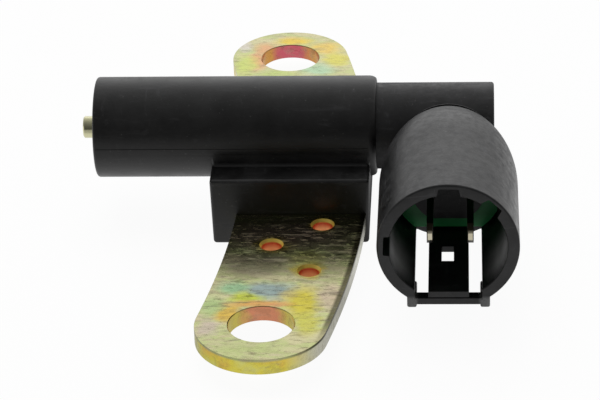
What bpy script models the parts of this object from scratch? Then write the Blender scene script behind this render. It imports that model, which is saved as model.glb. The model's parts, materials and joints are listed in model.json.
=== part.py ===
"""Crankshaft position sensor of the inductive kind, standing on the underside of its moulded block.

Units are metres, +Z up. The origin is the centre of the block's underside. The barrel lies along X with its
pole pin towards -X, the mounting plate lies along Y, and the plug socket at the +X end faces -Y.
"""

import math

import bmesh
import bpy
from mathutils import Matrix

# Clearances
MOULD_GAP = 0.0001
FIT_GAP = 0.0003
CUT_MARGIN = 0.001

# Barrel and block moulding
AXIS_HEIGHT = 0.01183
BARREL_RADIUS = 0.00664
BARREL_WALL = 0.0010
NOSE_LENGTH = 0.0154
NOSE_WALL = 0.0013
NOSE_ROUND = 0.00035
BLOCK_LENGTH = 0.02094
BLOCK_DEPTH = 0.02116
BLOCK_DRAFT = math.radians(1.2)
BLOCK_ROUND = 0.0003
LEDGE_DROP = 0.00239
STEP_INSET = 0.00005
TAIL_SETBACK = 0.00027
TAIL_ROUND = 0.0010
TAIL_LIP = 0.0003
RIDGE_HEIGHT = 0.00008
RIDGE_WIDTH = 0.00030

# Pole pin, magnet and yoke disc
PIN_RADIUS = 0.001455
PIN_PROUD = 0.00186
PIN_CHAMFER = 0.00015
PIN_HEAD_RADIUS = 0.0021
PIN_HEAD_LENGTH = 0.0008
MAGNET_RADIUS = 0.0026
MAGNET_LENGTH = 0.0080
YOKE_LENGTH = 0.0010

# Coil
COIL_CLEARANCE = 0.00177
WINDING_RADIUS = 0.0045
TAPE_THICKNESS = 0.00025
BOBBIN_WALL = 0.0007
BOBBIN_FLANGE = 0.0008
BOBBIN_CUP_WALL = 0.0007
BOBBIN_NOTCH_WIDTH = 0.0012
LEAD_RADIUS = 0.00012
LEAD_TURNS = 3
LEAD_PITCH = 0.0005

# Mounting plate
PLATE_TOP = 0.00446
PLATE_THICKNESS = 0.00205
PLATE_EDGE = 0.0002
HOLE_RADIUS = 0.0041
HOLE_SPACING = 0.0723
HOLE_MIDDLE_X = -0.00223
HOLE_MIDDLE_Y = -0.001457
LOBE_RADIUS = 0.00825
BULGE_REACH = 0.01233
HOLLOW_REACH = 0.00455
NOTCH_LENGTH = 0.0140
NOTCH_DEPTH = 0.0020
PUNCH_RADIUS = 0.0013
PUNCH_MOUTH = 0.00155
PUNCH_SINK = 0.0004
PUNCH_PLACES = ((-0.00201, -0.01842), (0.00433, -0.01334), (0.00309, -0.02492))

# Connector body
ARM_RADIUS = 0.00569
ARM_ROUND = 0.0003
ARM_END = 0.02662
SPIGOT_DEPTH = 0.0045
SOCKET_X = 0.02067
SOCKET_REACH = 0.0319
SOCKET_RADIUS = 0.0088
SOCKET_WALL = 0.0015
SOCKET_ROUND = 0.0002
SHOULDER_LENGTH = 0.0150
SHOULDER_BACK = 0.0020
BORE_DEPTH = 0.0187
CORE_RADIUS = 0.0047
CORE_DEPTH = 0.01445
CORE_FLAT = 0.00413
KEY_DEPTH = 0.0125

# Each keyway's place round the bore, width at the bore, width at its floor, and rise from the bore
KEYWAYS = (
    (math.radians(89.3), 0.0029, 0.0025, 0.0009),
    (math.radians(178.5), 0.00276, 0.00256, 0.0007),
    (math.radians(45.9), 0.0029, 0.0022, 0.0010),
)

# Window, feet and bridge under the socket
WINDOW_LEFT = 0.00417
WINDOW_RIGHT = 0.00420
WINDOW_DEPTH = 0.0178
WINDOW_ROUND = 0.00025
FOOT_WIDTH = 0.0012
FOOT_LENGTH = 0.0045
FOOT_LEDGE = 0.00025
FOOT_ROUND = 0.0002
FOOT_LIFT = 0.00016
BRIDGE_THICKNESS = 0.0009
BRIDGE_LENGTH = 0.0016
BRIDGE_SETBACK = 0.00005

# Latch tongue under the socket
TONGUE_LEFT = 0.00249
TONGUE_RIGHT = 0.00255
TONGUE_THICKNESS = 0.0008
TONGUE_RISE_BACK = 0.00165
TONGUE_RISE_FRONT = 0.00092
CATCH_LEFT = 0.00086
CATCH_RIGHT = 0.00067
CATCH_START = 0.00715
CATCH_END = 0.0105

# Seal
SEAL_CLEARANCE = 0.0004
SEAL_FLAT_WALL = 0.00127
SEAL_ROUND = 0.0003

# Terminals
BLADE_THICKNESS = 0.0008
BLADE_HEIGHT = 0.0028
BLADE_PITCH = 0.0050
BLADE_OFFSET = 0.00025
BLADE_TIP_DEPTH = 0.0027
BLADE_CHAMFER = 0.00095
BLADE_TAPER = 0.00012
BLADE_ROOT = 0.0015
STRIP_HEIGHT = 0.0018
STRIP_SPACING = 0.0034
STRIP_TAIL = 0.0045

# Facets in a full turn
FINE_STEPS = 72
MEDIUM_STEPS = 40
COARSE_STEPS = 24
WIRE_STEPS = 6
EDGE_STEPS = 8
CORNER_STEPS = 3
ROUND_STEPS = 2
SHOULDER_STEPS = 10
LEAD_TURN_STEPS = 12
SHARP_ANGLE = math.radians(30)
BEVEL_ANGLE = math.radians(40)
SEAL_BEVEL_ANGLE = math.radians(50)

# Places that follow from the sizes
BLOCK_HALF = BLOCK_LENGTH / 2
NOSE_X = -BLOCK_HALF - NOSE_LENGTH
TAIL_X = BLOCK_HALF - TAIL_SETBACK
TAIL_END_X = TAIL_X + TAIL_ROUND
CAVITY_RADIUS = BARREL_RADIUS - BARREL_WALL
COIL_FRONT_X = NOSE_X + NOSE_WALL
SPIGOT_X = TAIL_END_X - SPIGOT_DEPTH
ARM_BORE_RADIUS = ARM_RADIUS + MOULD_GAP
BOBBIN_FRONT_X = COIL_FRONT_X + FIT_GAP
WINDING_FRONT_X = BOBBIN_FRONT_X + BOBBIN_FLANGE
STRIP_END_X = SPIGOT_X - STRIP_TAIL
YOKE_X = STRIP_END_X - COIL_CLEARANCE - YOKE_LENGTH
MAGNET_X = YOKE_X - MOULD_GAP - MAGNET_LENGTH
PIN_HEAD_X = MAGNET_X - MOULD_GAP - PIN_HEAD_LENGTH
FLANGE_BACK_X = PIN_HEAD_X - MOULD_GAP
WINDING_BACK_X = FLANGE_BACK_X - BOBBIN_FLANGE
WINDING_LENGTH = WINDING_BACK_X - WINDING_FRONT_X
FLANGE_RADIUS = CAVITY_RADIUS - FIT_GAP
BOBBIN_BORE = PIN_RADIUS + FIT_GAP
BOBBIN_RADIUS = BOBBIN_BORE + BOBBIN_WALL
CUP_BORE = max(MAGNET_RADIUS, PIN_HEAD_RADIUS) + FIT_GAP
CUP_RADIUS = CUP_BORE + BOBBIN_CUP_WALL
CUP_BACK_X = YOKE_X + YOKE_LENGTH
PLATE_BOTTOM = PLATE_TOP - PLATE_THICKNESS
HOLE_HALF = HOLE_SPACING / 2
RIM_Y = -SOCKET_REACH
BORE_RADIUS = SOCKET_RADIUS - SOCKET_WALL
FOOT_DROP = SOCKET_RADIUS - FOOT_LIFT
BRIDGE_TOP = BORE_RADIUS
TONGUE_TOP_BACK = BORE_RADIUS - TONGUE_RISE_BACK
TONGUE_TOP_FRONT = BORE_RADIUS - TONGUE_RISE_FRONT
SEAL_RADIUS = BORE_RADIUS - SEAL_CLEARANCE
SEAL_FLAT = CORE_FLAT + SEAL_FLAT_WALL

PARTS = bpy.data.collections.new("crankshaft_position_sensor")
CUTTERS = bpy.data.collections.new("cutters")

# Local +Z of a turned piece laid along +X, kept along +Z, or laid along -Y
TURNED = {
    "X": Matrix.Rotation(math.radians(90), 4, "Y"),
    "Z": Matrix.Identity(4),
    "-Y": Matrix.Rotation(math.radians(90), 4, "X"),
}

# Local X and Y of a flat outline, and its thickness along local Z
OUTLINED = {
    "XY": Matrix.Identity(4),
    "YZ": Matrix(((0, 0, 1, 0), (1, 0, 0, 0), (0, 1, 0, 0), (0, 0, 0, 1))),
}

SOCKET_FRAME = Matrix.Translation((SOCKET_X, 0, AXIS_HEIGHT)) @ TURNED["-Y"]


def clear_scene():
    for obj in list(bpy.data.objects):
        bpy.data.objects.remove(obj, do_unlink=True)
    for collection in (PARTS, CUTTERS):
        bpy.context.scene.collection.children.link(collection)
    CUTTERS.hide_render = True


def make_material(name, colour, roughness, metallic=0.0):
    material = bpy.data.materials.new(name)
    material.use_nodes = True
    shader = material.node_tree.nodes["Principled BSDF"]
    shader.inputs["Base Color"].default_value = (*colour, 1.0)
    shader.inputs["Roughness"].default_value = roughness
    shader.inputs["Metallic"].default_value = metallic
    return material


def place(name, data, matrix):
    """Adds an object to the cutters; finish_part moves the real pieces to their own collection."""
    obj = bpy.data.objects.new(name, data)
    obj.matrix_world = matrix
    obj.hide_render = True
    obj.display_type = "WIRE"
    CUTTERS.objects.link(obj)
    return obj


def curve_to_mesh(obj):
    """Swaps a curve for its closed mesh, which a Boolean can use."""
    bpy.context.view_layer.update()
    evaluated = obj.evaluated_get(bpy.context.evaluated_depsgraph_get())
    mesh = bpy.data.meshes.new_from_object(evaluated)
    work = bmesh.new()
    work.from_mesh(mesh)
    bmesh.ops.remove_doubles(work, verts=work.verts, dist=1e-7)
    bmesh.ops.recalc_face_normals(work, faces=work.faces)
    work.to_mesh(mesh)
    work.free()
    name = obj.name
    matrix = obj.matrix_world.copy()
    bpy.data.objects.remove(obj, do_unlink=True)
    return place(name, mesh, matrix)


def turned(name, profile, axis, centre, steps=FINE_STEPS, closed=False):
    """Sweeps a profile of (radius, height) points round its axis. It runs down the outer side."""
    mesh = bpy.data.meshes.new(name)
    edges = [(i, i + 1) for i in range(len(profile) - 1)]
    if closed:
        edges.append((len(profile) - 1, 0))
    mesh.from_pydata([(radius, 0, height) for radius, height in profile], edges, [])
    obj = place(name, mesh, Matrix.Translation(centre) @ TURNED[axis])
    screw = obj.modifiers.new("Turn", "SCREW")
    screw.steps = steps
    screw.render_steps = steps
    screw.use_merge_vertices = True
    screw.merge_threshold = 1e-6
    return obj


def outlined(name, loops, low, high, plane):
    """Extrudes flat closed loops, the first one outside and the rest holes, from low to high."""
    curve = bpy.data.curves.new(name, "CURVE")
    curve.dimensions = "2D"
    curve.fill_mode = "BOTH"
    curve.extrude = (high - low) / 2
    for loop in loops:
        spline = curve.splines.new("POLY")
        spline.points.add(len(loop) - 1)
        for point, (u, v) in zip(spline.points, loop):
            point.co = (u, v, 0, 1)
        spline.use_cyclic_u = True
    matrix = OUTLINED[plane].copy()
    middle = (low + high) / 2
    matrix.translation = {"XY": (0, 0, middle), "YZ": (middle, 0, 0)}[plane]
    return curve_to_mesh(place(name, curve, matrix))


def wire(name, points, radius, steps=WIRE_STEPS):
    """A round wire through the points, with closed ends."""
    curve = bpy.data.curves.new(name, "CURVE")
    curve.dimensions = "3D"
    curve.bevel_depth = radius
    curve.bevel_resolution = max(0, steps // 2 - 2)
    curve.use_fill_caps = True
    spline = curve.splines.new("POLY")
    spline.points.add(len(points) - 1)
    for point, place_of_point in zip(spline.points, points):
        point.co = (*place_of_point, 1)
    return curve_to_mesh(place(name, curve, Matrix.Identity(4)))


def box(name, low, high, matrix=None):
    """A box between two corners, in world axes or in those of a matrix."""
    mesh = bpy.data.meshes.new(name)
    work = bmesh.new()
    size = [b - a for a, b in zip(low, high)]
    middle = [(a + b) / 2 for a, b in zip(low, high)]
    bmesh.ops.create_cube(work, matrix=Matrix.Translation(middle) @ Matrix.Diagonal((*size, 1)))
    work.to_mesh(mesh)
    work.free()
    return place(name, mesh, matrix or Matrix.Identity(4))


def combine(obj, operation, other, solver="EXACT"):
    modifier = obj.modifiers.new(f"{operation.title()} {other.name}", "BOOLEAN")
    modifier.operation = operation
    modifier.object = other
    modifier.solver = solver


def combine_closed(obj, operation, other):
    """For the many shallow cuts of the connector body, which the exact solver leaves open."""
    combine(obj, operation, other, "MANIFOLD")


def round_edges(obj, width, angle=BEVEL_ANGLE):
    bevel = obj.modifiers.new("Rounded edges", "BEVEL")
    bevel.width = width
    bevel.segments = 2
    bevel.limit_method = "ANGLE"
    bevel.angle_limit = angle


def finish_part(obj, material):
    """Applies the modifiers, shades the round faces smooth and moves the piece to the part's collection."""
    bpy.context.view_layer.update()
    evaluated = obj.evaluated_get(bpy.context.evaluated_depsgraph_get())
    mesh = bpy.data.meshes.new_from_object(evaluated)
    mesh.name = obj.name
    mesh.materials.clear()
    mesh.materials.append(material)
    mesh.shade_smooth()
    mesh.set_sharp_from_angle(angle=SHARP_ANGLE)
    obj.modifiers.clear()
    obj.data = mesh
    obj.hide_render = False
    obj.display_type = "TEXTURED"
    CUTTERS.objects.unlink(obj)
    PARTS.objects.link(obj)
    return obj


def arc(centre, radius, start, end, steps):
    """Points on an arc, from one angle to another, in radians."""
    turn = (end - start) / steps
    return [
        (
            centre[0] + radius * math.cos(start + turn * i),
            centre[1] + radius * math.sin(start + turn * i),
        )
        for i in range(steps + 1)
    ]


def circle(centre, radius, steps):
    return arc(centre, radius, 0, 2 * math.pi, steps)[:-1]


def flat_circle(radius, flat, steps):
    """A circle whose lowest part is cut off at the distance flat from its centre."""
    corner = math.asin(flat / radius)
    return arc((0, 0), radius, -corner, math.pi + corner, steps)


def quarter(radius, height, reach, rise, steps=CORNER_STEPS):
    """Profile points round a corner, from its end face down to its side."""
    return [
        (
            radius - reach + reach * math.sin(math.pi / 2 * i / steps),
            height - rise + rise * math.cos(math.pi / 2 * i / steps),
        )
        for i in range(steps + 1)
    ]


def plate_outline(grow):
    """The plate's edge, moved out by grow: two lobes, a bulged and notched right edge, a hollow left one."""
    middle = (HOLE_MIDDLE_X, HOLE_MIDDLE_Y)
    lobe = LOBE_RADIUS + grow
    bulge = (BULGE_REACH**2 + HOLE_HALF**2 - LOBE_RADIUS**2) / (2 * (BULGE_REACH - LOBE_RADIUS))
    hollow = (HOLLOW_REACH**2 + HOLE_HALF**2 - LOBE_RADIUS**2) / (2 * (LOBE_RADIUS - HOLLOW_REACH))
    bulge_centre = (middle[0] + BULGE_REACH - bulge, middle[1])
    hollow_centre = (middle[0] - HOLLOW_REACH - hollow, middle[1])
    bulge_angle = math.asin(HOLE_HALF / (bulge - LOBE_RADIUS))
    hollow_angle = math.asin(HOLE_HALF / (hollow + LOBE_RADIUS))
    lobe_steps = MEDIUM_STEPS // 2

    def notch_corner(side):
        y = side * (NOTCH_LENGTH / 2 - grow)
        edge = bulge_centre[0] + math.sqrt((bulge + grow) ** 2 - (y - middle[1]) ** 2)
        floor = middle[0] + BULGE_REACH - NOTCH_DEPTH + grow
        return (edge, y), (floor, y)

    (front_edge, front_floor) = notch_corner(-1)
    (back_edge, back_floor) = notch_corner(1)
    front_angle = math.asin((front_edge[1] - middle[1]) / (bulge + grow))
    back_angle = math.asin((back_edge[1] - middle[1]) / (bulge + grow))
    points = arc(bulge_centre, bulge + grow, -bulge_angle, front_angle, EDGE_STEPS)
    points += [front_floor, back_floor]
    points += arc(bulge_centre, bulge + grow, back_angle, bulge_angle, EDGE_STEPS)
    back_lobe = (middle[0], middle[1] + HOLE_HALF)
    points += arc(back_lobe, lobe, bulge_angle, math.pi + hollow_angle, lobe_steps)[1:]
    points += arc(hollow_centre, hollow - grow, hollow_angle, -hollow_angle, 2 * EDGE_STEPS)[1:]
    front_lobe = (middle[0], middle[1] - HOLE_HALF)
    points += arc(front_lobe, lobe, math.pi - hollow_angle, 2 * math.pi - bulge_angle, lobe_steps)[1:-1]
    return points


def make_overmould(material):
    """The barrel and the block, moulded in one round the coil and the plate."""
    centre = (0, 0, AXIS_HEIGHT)
    tail_radius = ARM_BORE_RADIUS + TAIL_LIP
    profile = [(0, TAIL_END_X)]
    profile += quarter(BARREL_RADIUS, TAIL_END_X, BARREL_RADIUS - tail_radius, TAIL_ROUND)
    nose = quarter(BARREL_RADIUS, -NOSE_X, NOSE_ROUND, NOSE_ROUND)
    profile += [(radius, -height) for radius, height in reversed(nose)]
    profile += [(0, NOSE_X)]
    barrel = turned("sensor_overmould", profile, "X", centre)

    ledge = AXIS_HEIGHT - LEDGE_DROP
    front = BLOCK_DEPTH / 2
    step = BARREL_RADIUS - STEP_INSET
    section = [(-front, 0), (front, 0), (front, ledge), (step, ledge)]
    section += [(step, AXIS_HEIGHT), (-step, AXIS_HEIGHT), (-step, ledge), (-front, ledge)]
    block = outlined("block", [section], -BLOCK_HALF, BLOCK_HALF, "YZ")
    for vertex in block.data.vertices:
        inward = (AXIS_HEIGHT - vertex.co.y) * math.tan(BLOCK_DRAFT)
        vertex.co.z *= 1 - inward / BLOCK_HALF
    round_edges(block, BLOCK_ROUND)
    combine(barrel, "UNION", block)

    ridge = box(
        "parting_ridge",
        (NOSE_X + NOSE_ROUND, -BARREL_RADIUS - RIDGE_HEIGHT, AXIS_HEIGHT - RIDGE_WIDTH / 2),
        (TAIL_X, BARREL_RADIUS + RIDGE_HEIGHT, AXIS_HEIGHT + RIDGE_WIDTH / 2),
    )
    combine(barrel, "UNION", ridge)

    bore = [
        (0, TAIL_END_X + CUT_MARGIN),
        (ARM_BORE_RADIUS, TAIL_END_X + CUT_MARGIN),
        (ARM_BORE_RADIUS, SPIGOT_X),
        (CAVITY_RADIUS, SPIGOT_X),
        (CAVITY_RADIUS, COIL_FRONT_X),
        (PIN_RADIUS + MOULD_GAP, COIL_FRONT_X),
        (PIN_RADIUS + MOULD_GAP, NOSE_X - CUT_MARGIN),
        (0, NOSE_X - CUT_MARGIN),
    ]
    combine(barrel, "DIFFERENCE", turned("coil_chamber", bore, "X", centre, MEDIUM_STEPS))
    slot = outlined(
        "plate_slot",
        [plate_outline(MOULD_GAP)],
        PLATE_BOTTOM - MOULD_GAP,
        PLATE_TOP + MOULD_GAP,
        "XY",
    )
    combine(barrel, "DIFFERENCE", slot)
    return finish_part(barrel, material)


def make_plate(material):
    """The punched steel plate with its two bolt holes and three small holes."""
    loops = [plate_outline(0)]
    for side in (-1, 1):
        loops.append(circle((HOLE_MIDDLE_X, HOLE_MIDDLE_Y + side * HOLE_HALF), HOLE_RADIUS, MEDIUM_STEPS))
    plate = outlined("mounting_plate", loops, PLATE_BOTTOM, PLATE_TOP, "XY")
    round_edges(plate, PLATE_EDGE)
    mouth = PUNCH_MOUTH + (PUNCH_MOUTH - PUNCH_RADIUS) * CUT_MARGIN / PUNCH_SINK
    punch = [
        (0, PLATE_TOP + CUT_MARGIN),
        (mouth, PLATE_TOP + CUT_MARGIN),
        (PUNCH_RADIUS, PLATE_TOP - PUNCH_SINK),
        (PUNCH_RADIUS, PLATE_BOTTOM - CUT_MARGIN),
        (0, PLATE_BOTTOM - CUT_MARGIN),
    ]
    for number, (x, y) in enumerate(PUNCH_PLACES, 1):
        combine(plate, "DIFFERENCE", turned(f"punch_{number}", punch, "Z", (x, y, 0), COARSE_STEPS))
    return finish_part(plate, material)


def make_pole_pin(material):
    """The soft iron core, whose tip faces the toothed wheel."""
    tip = NOSE_X - PIN_PROUD
    profile = [
        (0, PIN_HEAD_X + PIN_HEAD_LENGTH),
        (PIN_HEAD_RADIUS, PIN_HEAD_X + PIN_HEAD_LENGTH),
        (PIN_HEAD_RADIUS, PIN_HEAD_X),
        (PIN_RADIUS, PIN_HEAD_X),
        (PIN_RADIUS, tip + PIN_CHAMFER),
        (PIN_RADIUS - PIN_CHAMFER, tip),
        (0, tip),
    ]
    return finish_part(turned("pole_pin", profile, "X", (0, 0, AXIS_HEIGHT), MEDIUM_STEPS), material)


def make_disc(name, radius, start, length, material):
    profile = [(0, start + length), (radius, start + length), (radius, start), (0, start)]
    return finish_part(turned(name, profile, "X", (0, 0, AXIS_HEIGHT), COARSE_STEPS), material)


def make_ring(name, inner, outer, start, length, material):
    end = start + length
    profile = [(outer, end), (outer, start), (inner, start), (inner, end)]
    ring = turned(name, profile, "X", (0, 0, AXIS_HEIGHT), MEDIUM_STEPS, closed=True)
    return finish_part(ring, material)


def make_bobbin(material):
    """The spool under the winding, with a cup behind it for the magnet and two notches for the leads."""
    profile = [
        (CUP_BORE, CUP_BACK_X),
        (CUP_RADIUS, CUP_BACK_X),
        (CUP_RADIUS, FLANGE_BACK_X),
        (FLANGE_RADIUS, FLANGE_BACK_X),
        (FLANGE_RADIUS, WINDING_BACK_X),
        (BOBBIN_RADIUS, WINDING_BACK_X),
        (BOBBIN_RADIUS, WINDING_FRONT_X),
        (FLANGE_RADIUS, WINDING_FRONT_X),
        (FLANGE_RADIUS, BOBBIN_FRONT_X),
        (BOBBIN_BORE, BOBBIN_FRONT_X),
        (BOBBIN_BORE, FLANGE_BACK_X),
        (CUP_BORE, FLANGE_BACK_X),
    ]
    bobbin = turned("coil_bobbin", profile, "X", (0, 0, AXIS_HEIGHT), MEDIUM_STEPS, closed=True)
    for side, name in ((-1, "lead_notch_front"), (1, "lead_notch_back")):
        near = side * (CUP_RADIUS + FIT_GAP)
        far = side * (FLANGE_RADIUS + CUT_MARGIN)
        notch = box(
            name,
            (WINDING_BACK_X - FIT_GAP, min(near, far), AXIS_HEIGHT - BOBBIN_NOTCH_WIDTH / 2),
            (FLANGE_BACK_X + FIT_GAP, max(near, far), AXIS_HEIGHT + BOBBIN_NOTCH_WIDTH / 2),
        )
        combine(bobbin, "DIFFERENCE", notch)
    return finish_part(bobbin, material)


def make_coil_lead(name, side, material):
    """The winding's end: through the flange notch, along the magnet cup, then round its terminal."""
    strip_y = side * STRIP_SPACING / 2
    loop = math.hypot(BLADE_THICKNESS / 2, STRIP_HEIGHT / 2) + FIT_GAP / 2 + LEAD_RADIUS
    near = CUP_RADIUS + FIT_GAP + LEAD_RADIUS
    start = WINDING_BACK_X + FIT_GAP / 2
    wrap_start = STRIP_END_X + LEAD_PITCH
    points = [(start, side * near, AXIS_HEIGHT)]
    points.append((max(CUP_BACK_X, start + LEAD_PITCH), side * near, AXIS_HEIGHT))
    for i in range(LEAD_TURNS * LEAD_TURN_STEPS + 1):
        angle = 2 * math.pi * i / LEAD_TURN_STEPS
        x = wrap_start + LEAD_PITCH * i / LEAD_TURN_STEPS
        y = strip_y + side * loop * math.cos(angle)
        points.append((x, y, AXIS_HEIGHT + loop * math.sin(angle)))
    return finish_part(wire(name, points, LEAD_RADIUS), material)


def blade_x(side):
    return SOCKET_X + BLADE_OFFSET + side * BLADE_PITCH / 2


def terminal_path(side, grow, tip_y, end_x, taper=0.0):
    """Plan outline of a strip bent from the blade, along Y, to the barrel's axis, along X."""
    half = BLADE_THICKNESS / 2 + grow
    x = blade_x(side)
    y = side * STRIP_SPACING / 2
    if taper:
        tip = [
            (x - half, tip_y + BLADE_CHAMFER),
            (x - half + taper, tip_y),
            (x + half - taper, tip_y),
            (x + half, tip_y + BLADE_CHAMFER),
        ]
    else:
        tip = [(x - half, tip_y), (x + half, tip_y)]
    return tip + [
        (x + half, y + half),
        (end_x, y + half),
        (end_x, y - half),
        (x - half, y - half),
    ]


def make_terminal(name, side, material):
    """A blade that turns into the arm and narrows to a strip on its way to the coil."""
    tip = RIM_Y + BLADE_TIP_DEPTH
    outline = terminal_path(side, 0, tip, STRIP_END_X, BLADE_TAPER)
    half_height = BLADE_HEIGHT / 2
    terminal = outlined(name, [outline], AXIS_HEIGHT - half_height, AXIS_HEIGHT + half_height, "XY")
    narrow_from = RIM_Y + CORE_DEPTH + BLADE_ROOT
    for level in (-1, 1):
        near = AXIS_HEIGHT + level * STRIP_HEIGHT / 2
        far = AXIS_HEIGHT + level * (half_height + CUT_MARGIN)
        trim = box(
            f"{name}_trim_{'top' if level > 0 else 'bottom'}",
            (STRIP_END_X - CUT_MARGIN, narrow_from, min(near, far)),
            (ARM_END, ARM_RADIUS, max(near, far)),
        )
        combine(terminal, "DIFFERENCE", trim)
        outside = AXIS_HEIGHT + level * (half_height + CUT_MARGIN)
        chamfer = [
            (tip - CUT_MARGIN, AXIS_HEIGHT + level * (half_height - BLADE_CHAMFER - CUT_MARGIN)),
            (tip + BLADE_CHAMFER + CUT_MARGIN, outside),
            (tip - CUT_MARGIN, outside),
        ]
        wedge = outlined(
            f"{name}_tip_{'top' if level > 0 else 'bottom'}",
            [chamfer],
            blade_x(side) - BLADE_THICKNESS,
            blade_x(side) + BLADE_THICKNESS,
            "YZ",
        )
        combine(terminal, "DIFFERENCE", wedge)
    return finish_part(terminal, material)


def socket_bar(name, left, right, drop, top, near, far):
    """A box in the socket's own axes: X across, Y up from its axis, and depth behind its rim."""
    return box(name, (left, drop, SOCKET_REACH - far), (right, top, SOCKET_REACH - near), SOCKET_FRAME)


def make_keyway(angle, width, floor_width, rise):
    """A keyway's cutter, narrowing from the bore to its floor and open at the rim."""
    mouth = math.sqrt(BORE_RADIUS**2 - (width / 2) ** 2)
    floor = BORE_RADIUS + rise
    inner = mouth - CUT_MARGIN
    inner_width = width + (width - floor_width) * CUT_MARGIN / (floor - mouth)
    outline = [
        (inner, -inner_width / 2),
        (floor, -floor_width / 2),
        (floor, floor_width / 2),
        (inner, inner_width / 2),
    ]
    name = f"keyway_{math.degrees(angle):.0f}"
    keyway = outlined(name, [outline], SOCKET_REACH - KEY_DEPTH, SOCKET_REACH + CUT_MARGIN, "XY")
    keyway.matrix_world = SOCKET_FRAME @ Matrix.Rotation(angle, 4, "Z") @ keyway.matrix_world
    return keyway


def make_window():
    """The cutter of the window in the socket's underside, with round corners at its back."""
    left = SOCKET_X - WINDOW_LEFT
    right = SOCKET_X + WINDOW_RIGHT
    back = RIM_Y + WINDOW_DEPTH
    outline = [(left, RIM_Y - CUT_MARGIN), (right, RIM_Y - CUT_MARGIN)]
    corner_y = back - WINDOW_ROUND
    outline += arc((right - WINDOW_ROUND, corner_y), WINDOW_ROUND, 0, math.pi / 2, CORNER_STEPS)
    outline += arc((left + WINDOW_ROUND, corner_y), WINDOW_ROUND, math.pi / 2, math.pi, CORNER_STEPS)
    bottom = AXIS_HEIGHT - SOCKET_RADIUS - CUT_MARGIN
    top = AXIS_HEIGHT - (TONGUE_TOP_BACK + CORE_RADIUS) / 2
    return outlined("latch_window", [outline], bottom, top, "XY")


def make_foot(side, window):
    """A foot beside the window, with a ledge that carries the bridge."""
    inner = window - FOOT_LEDGE
    outer = inner + FOOT_WIDTH
    shoulder = window + FOOT_LEDGE
    wall_middle = SOCKET_RADIUS - SOCKET_WALL / 2
    top = -math.sqrt(wall_middle**2 - outer**2)
    ledge = -BRIDGE_TOP - BRIDGE_SETBACK
    outline = [
        (side * inner, -FOOT_DROP),
        (side * outer, -FOOT_DROP),
        (side * outer, top),
        (side * shoulder, top),
        (side * shoulder, ledge),
        (side * inner, ledge),
    ]
    name = f"foot_{'right' if side > 0 else 'left'}"
    foot = outlined(name, [outline], SOCKET_REACH - FOOT_LENGTH, SOCKET_REACH - BRIDGE_SETBACK, "XY")
    foot.matrix_world = SOCKET_FRAME @ foot.matrix_world
    round_edges(foot, FOOT_ROUND)
    return foot


def make_socket_shell():
    """The round shell, whose shoulder closes like half an egg on the arm."""
    profile = [(0, SOCKET_REACH)]
    profile += quarter(SOCKET_RADIUS, SOCKET_REACH, SOCKET_ROUND, SOCKET_ROUND, ROUND_STEPS)
    straight_end = SHOULDER_BACK + SHOULDER_LENGTH
    for i in range(SHOULDER_STEPS):
        angle = math.pi / 2 * i / SHOULDER_STEPS
        profile.append((SOCKET_RADIUS * math.cos(angle), straight_end - SHOULDER_LENGTH * math.sin(angle)))
    profile.append((0, SHOULDER_BACK))
    return turned("socket_shell", profile, "-Y", (SOCKET_X, 0, AXIS_HEIGHT))


def cut_bore(body):
    """The bore, with the core at its bottom, its flat lower side and the keyways."""
    rim = SOCKET_REACH + CUT_MARGIN
    floor = SOCKET_REACH - BORE_DEPTH
    core_face = SOCKET_REACH - CORE_DEPTH
    profile = [(0, rim), (BORE_RADIUS, rim), (BORE_RADIUS, floor)]
    profile += [(CORE_RADIUS, floor), (CORE_RADIUS, core_face), (0, core_face)]
    combine_closed(body, "DIFFERENCE", turned("socket_bore", profile, "-Y", (SOCKET_X, 0, AXIS_HEIGHT)))
    chord = math.sqrt(CORE_RADIUS**2 - CORE_FLAT**2) + MOULD_GAP
    core_low = -(CORE_RADIUS + BORE_RADIUS) / 2
    core_far = BORE_DEPTH + MOULD_GAP / 2
    core_near = CORE_DEPTH - CUT_MARGIN
    core_flat = socket_bar("core_flat", -chord, chord, core_low, -CORE_FLAT, core_near, core_far)
    combine_closed(body, "DIFFERENCE", core_flat)
    for keyway in KEYWAYS:
        combine_closed(body, "DIFFERENCE", make_keyway(*keyway))


def cut_channel(body, side, word):
    """A terminal's channel through the core and the arm, with a wider pocket for the blade's root."""
    mouth = RIM_Y + CORE_DEPTH - CUT_MARGIN
    half_height = STRIP_HEIGHT / 2 + MOULD_GAP
    path = terminal_path(side, MOULD_GAP, mouth, SPIGOT_X - CUT_MARGIN)
    channel = outlined(
        f"strip_channel_{word}",
        [path],
        AXIS_HEIGHT - half_height,
        AXIS_HEIGHT + half_height,
        "XY",
    )
    combine_closed(body, "DIFFERENCE", channel)
    half_width = BLADE_THICKNESS / 2 + 2 * MOULD_GAP
    pocket_half = BLADE_HEIGHT / 2 + MOULD_GAP
    pocket_end = RIM_Y + CORE_DEPTH + BLADE_ROOT + MOULD_GAP
    pocket = box(
        f"blade_pocket_{word}",
        (blade_x(side) - half_width, mouth, AXIS_HEIGHT - pocket_half),
        (blade_x(side) + half_width, pocket_end, AXIS_HEIGHT + pocket_half),
    )
    combine_closed(body, "DIFFERENCE", pocket)


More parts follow.
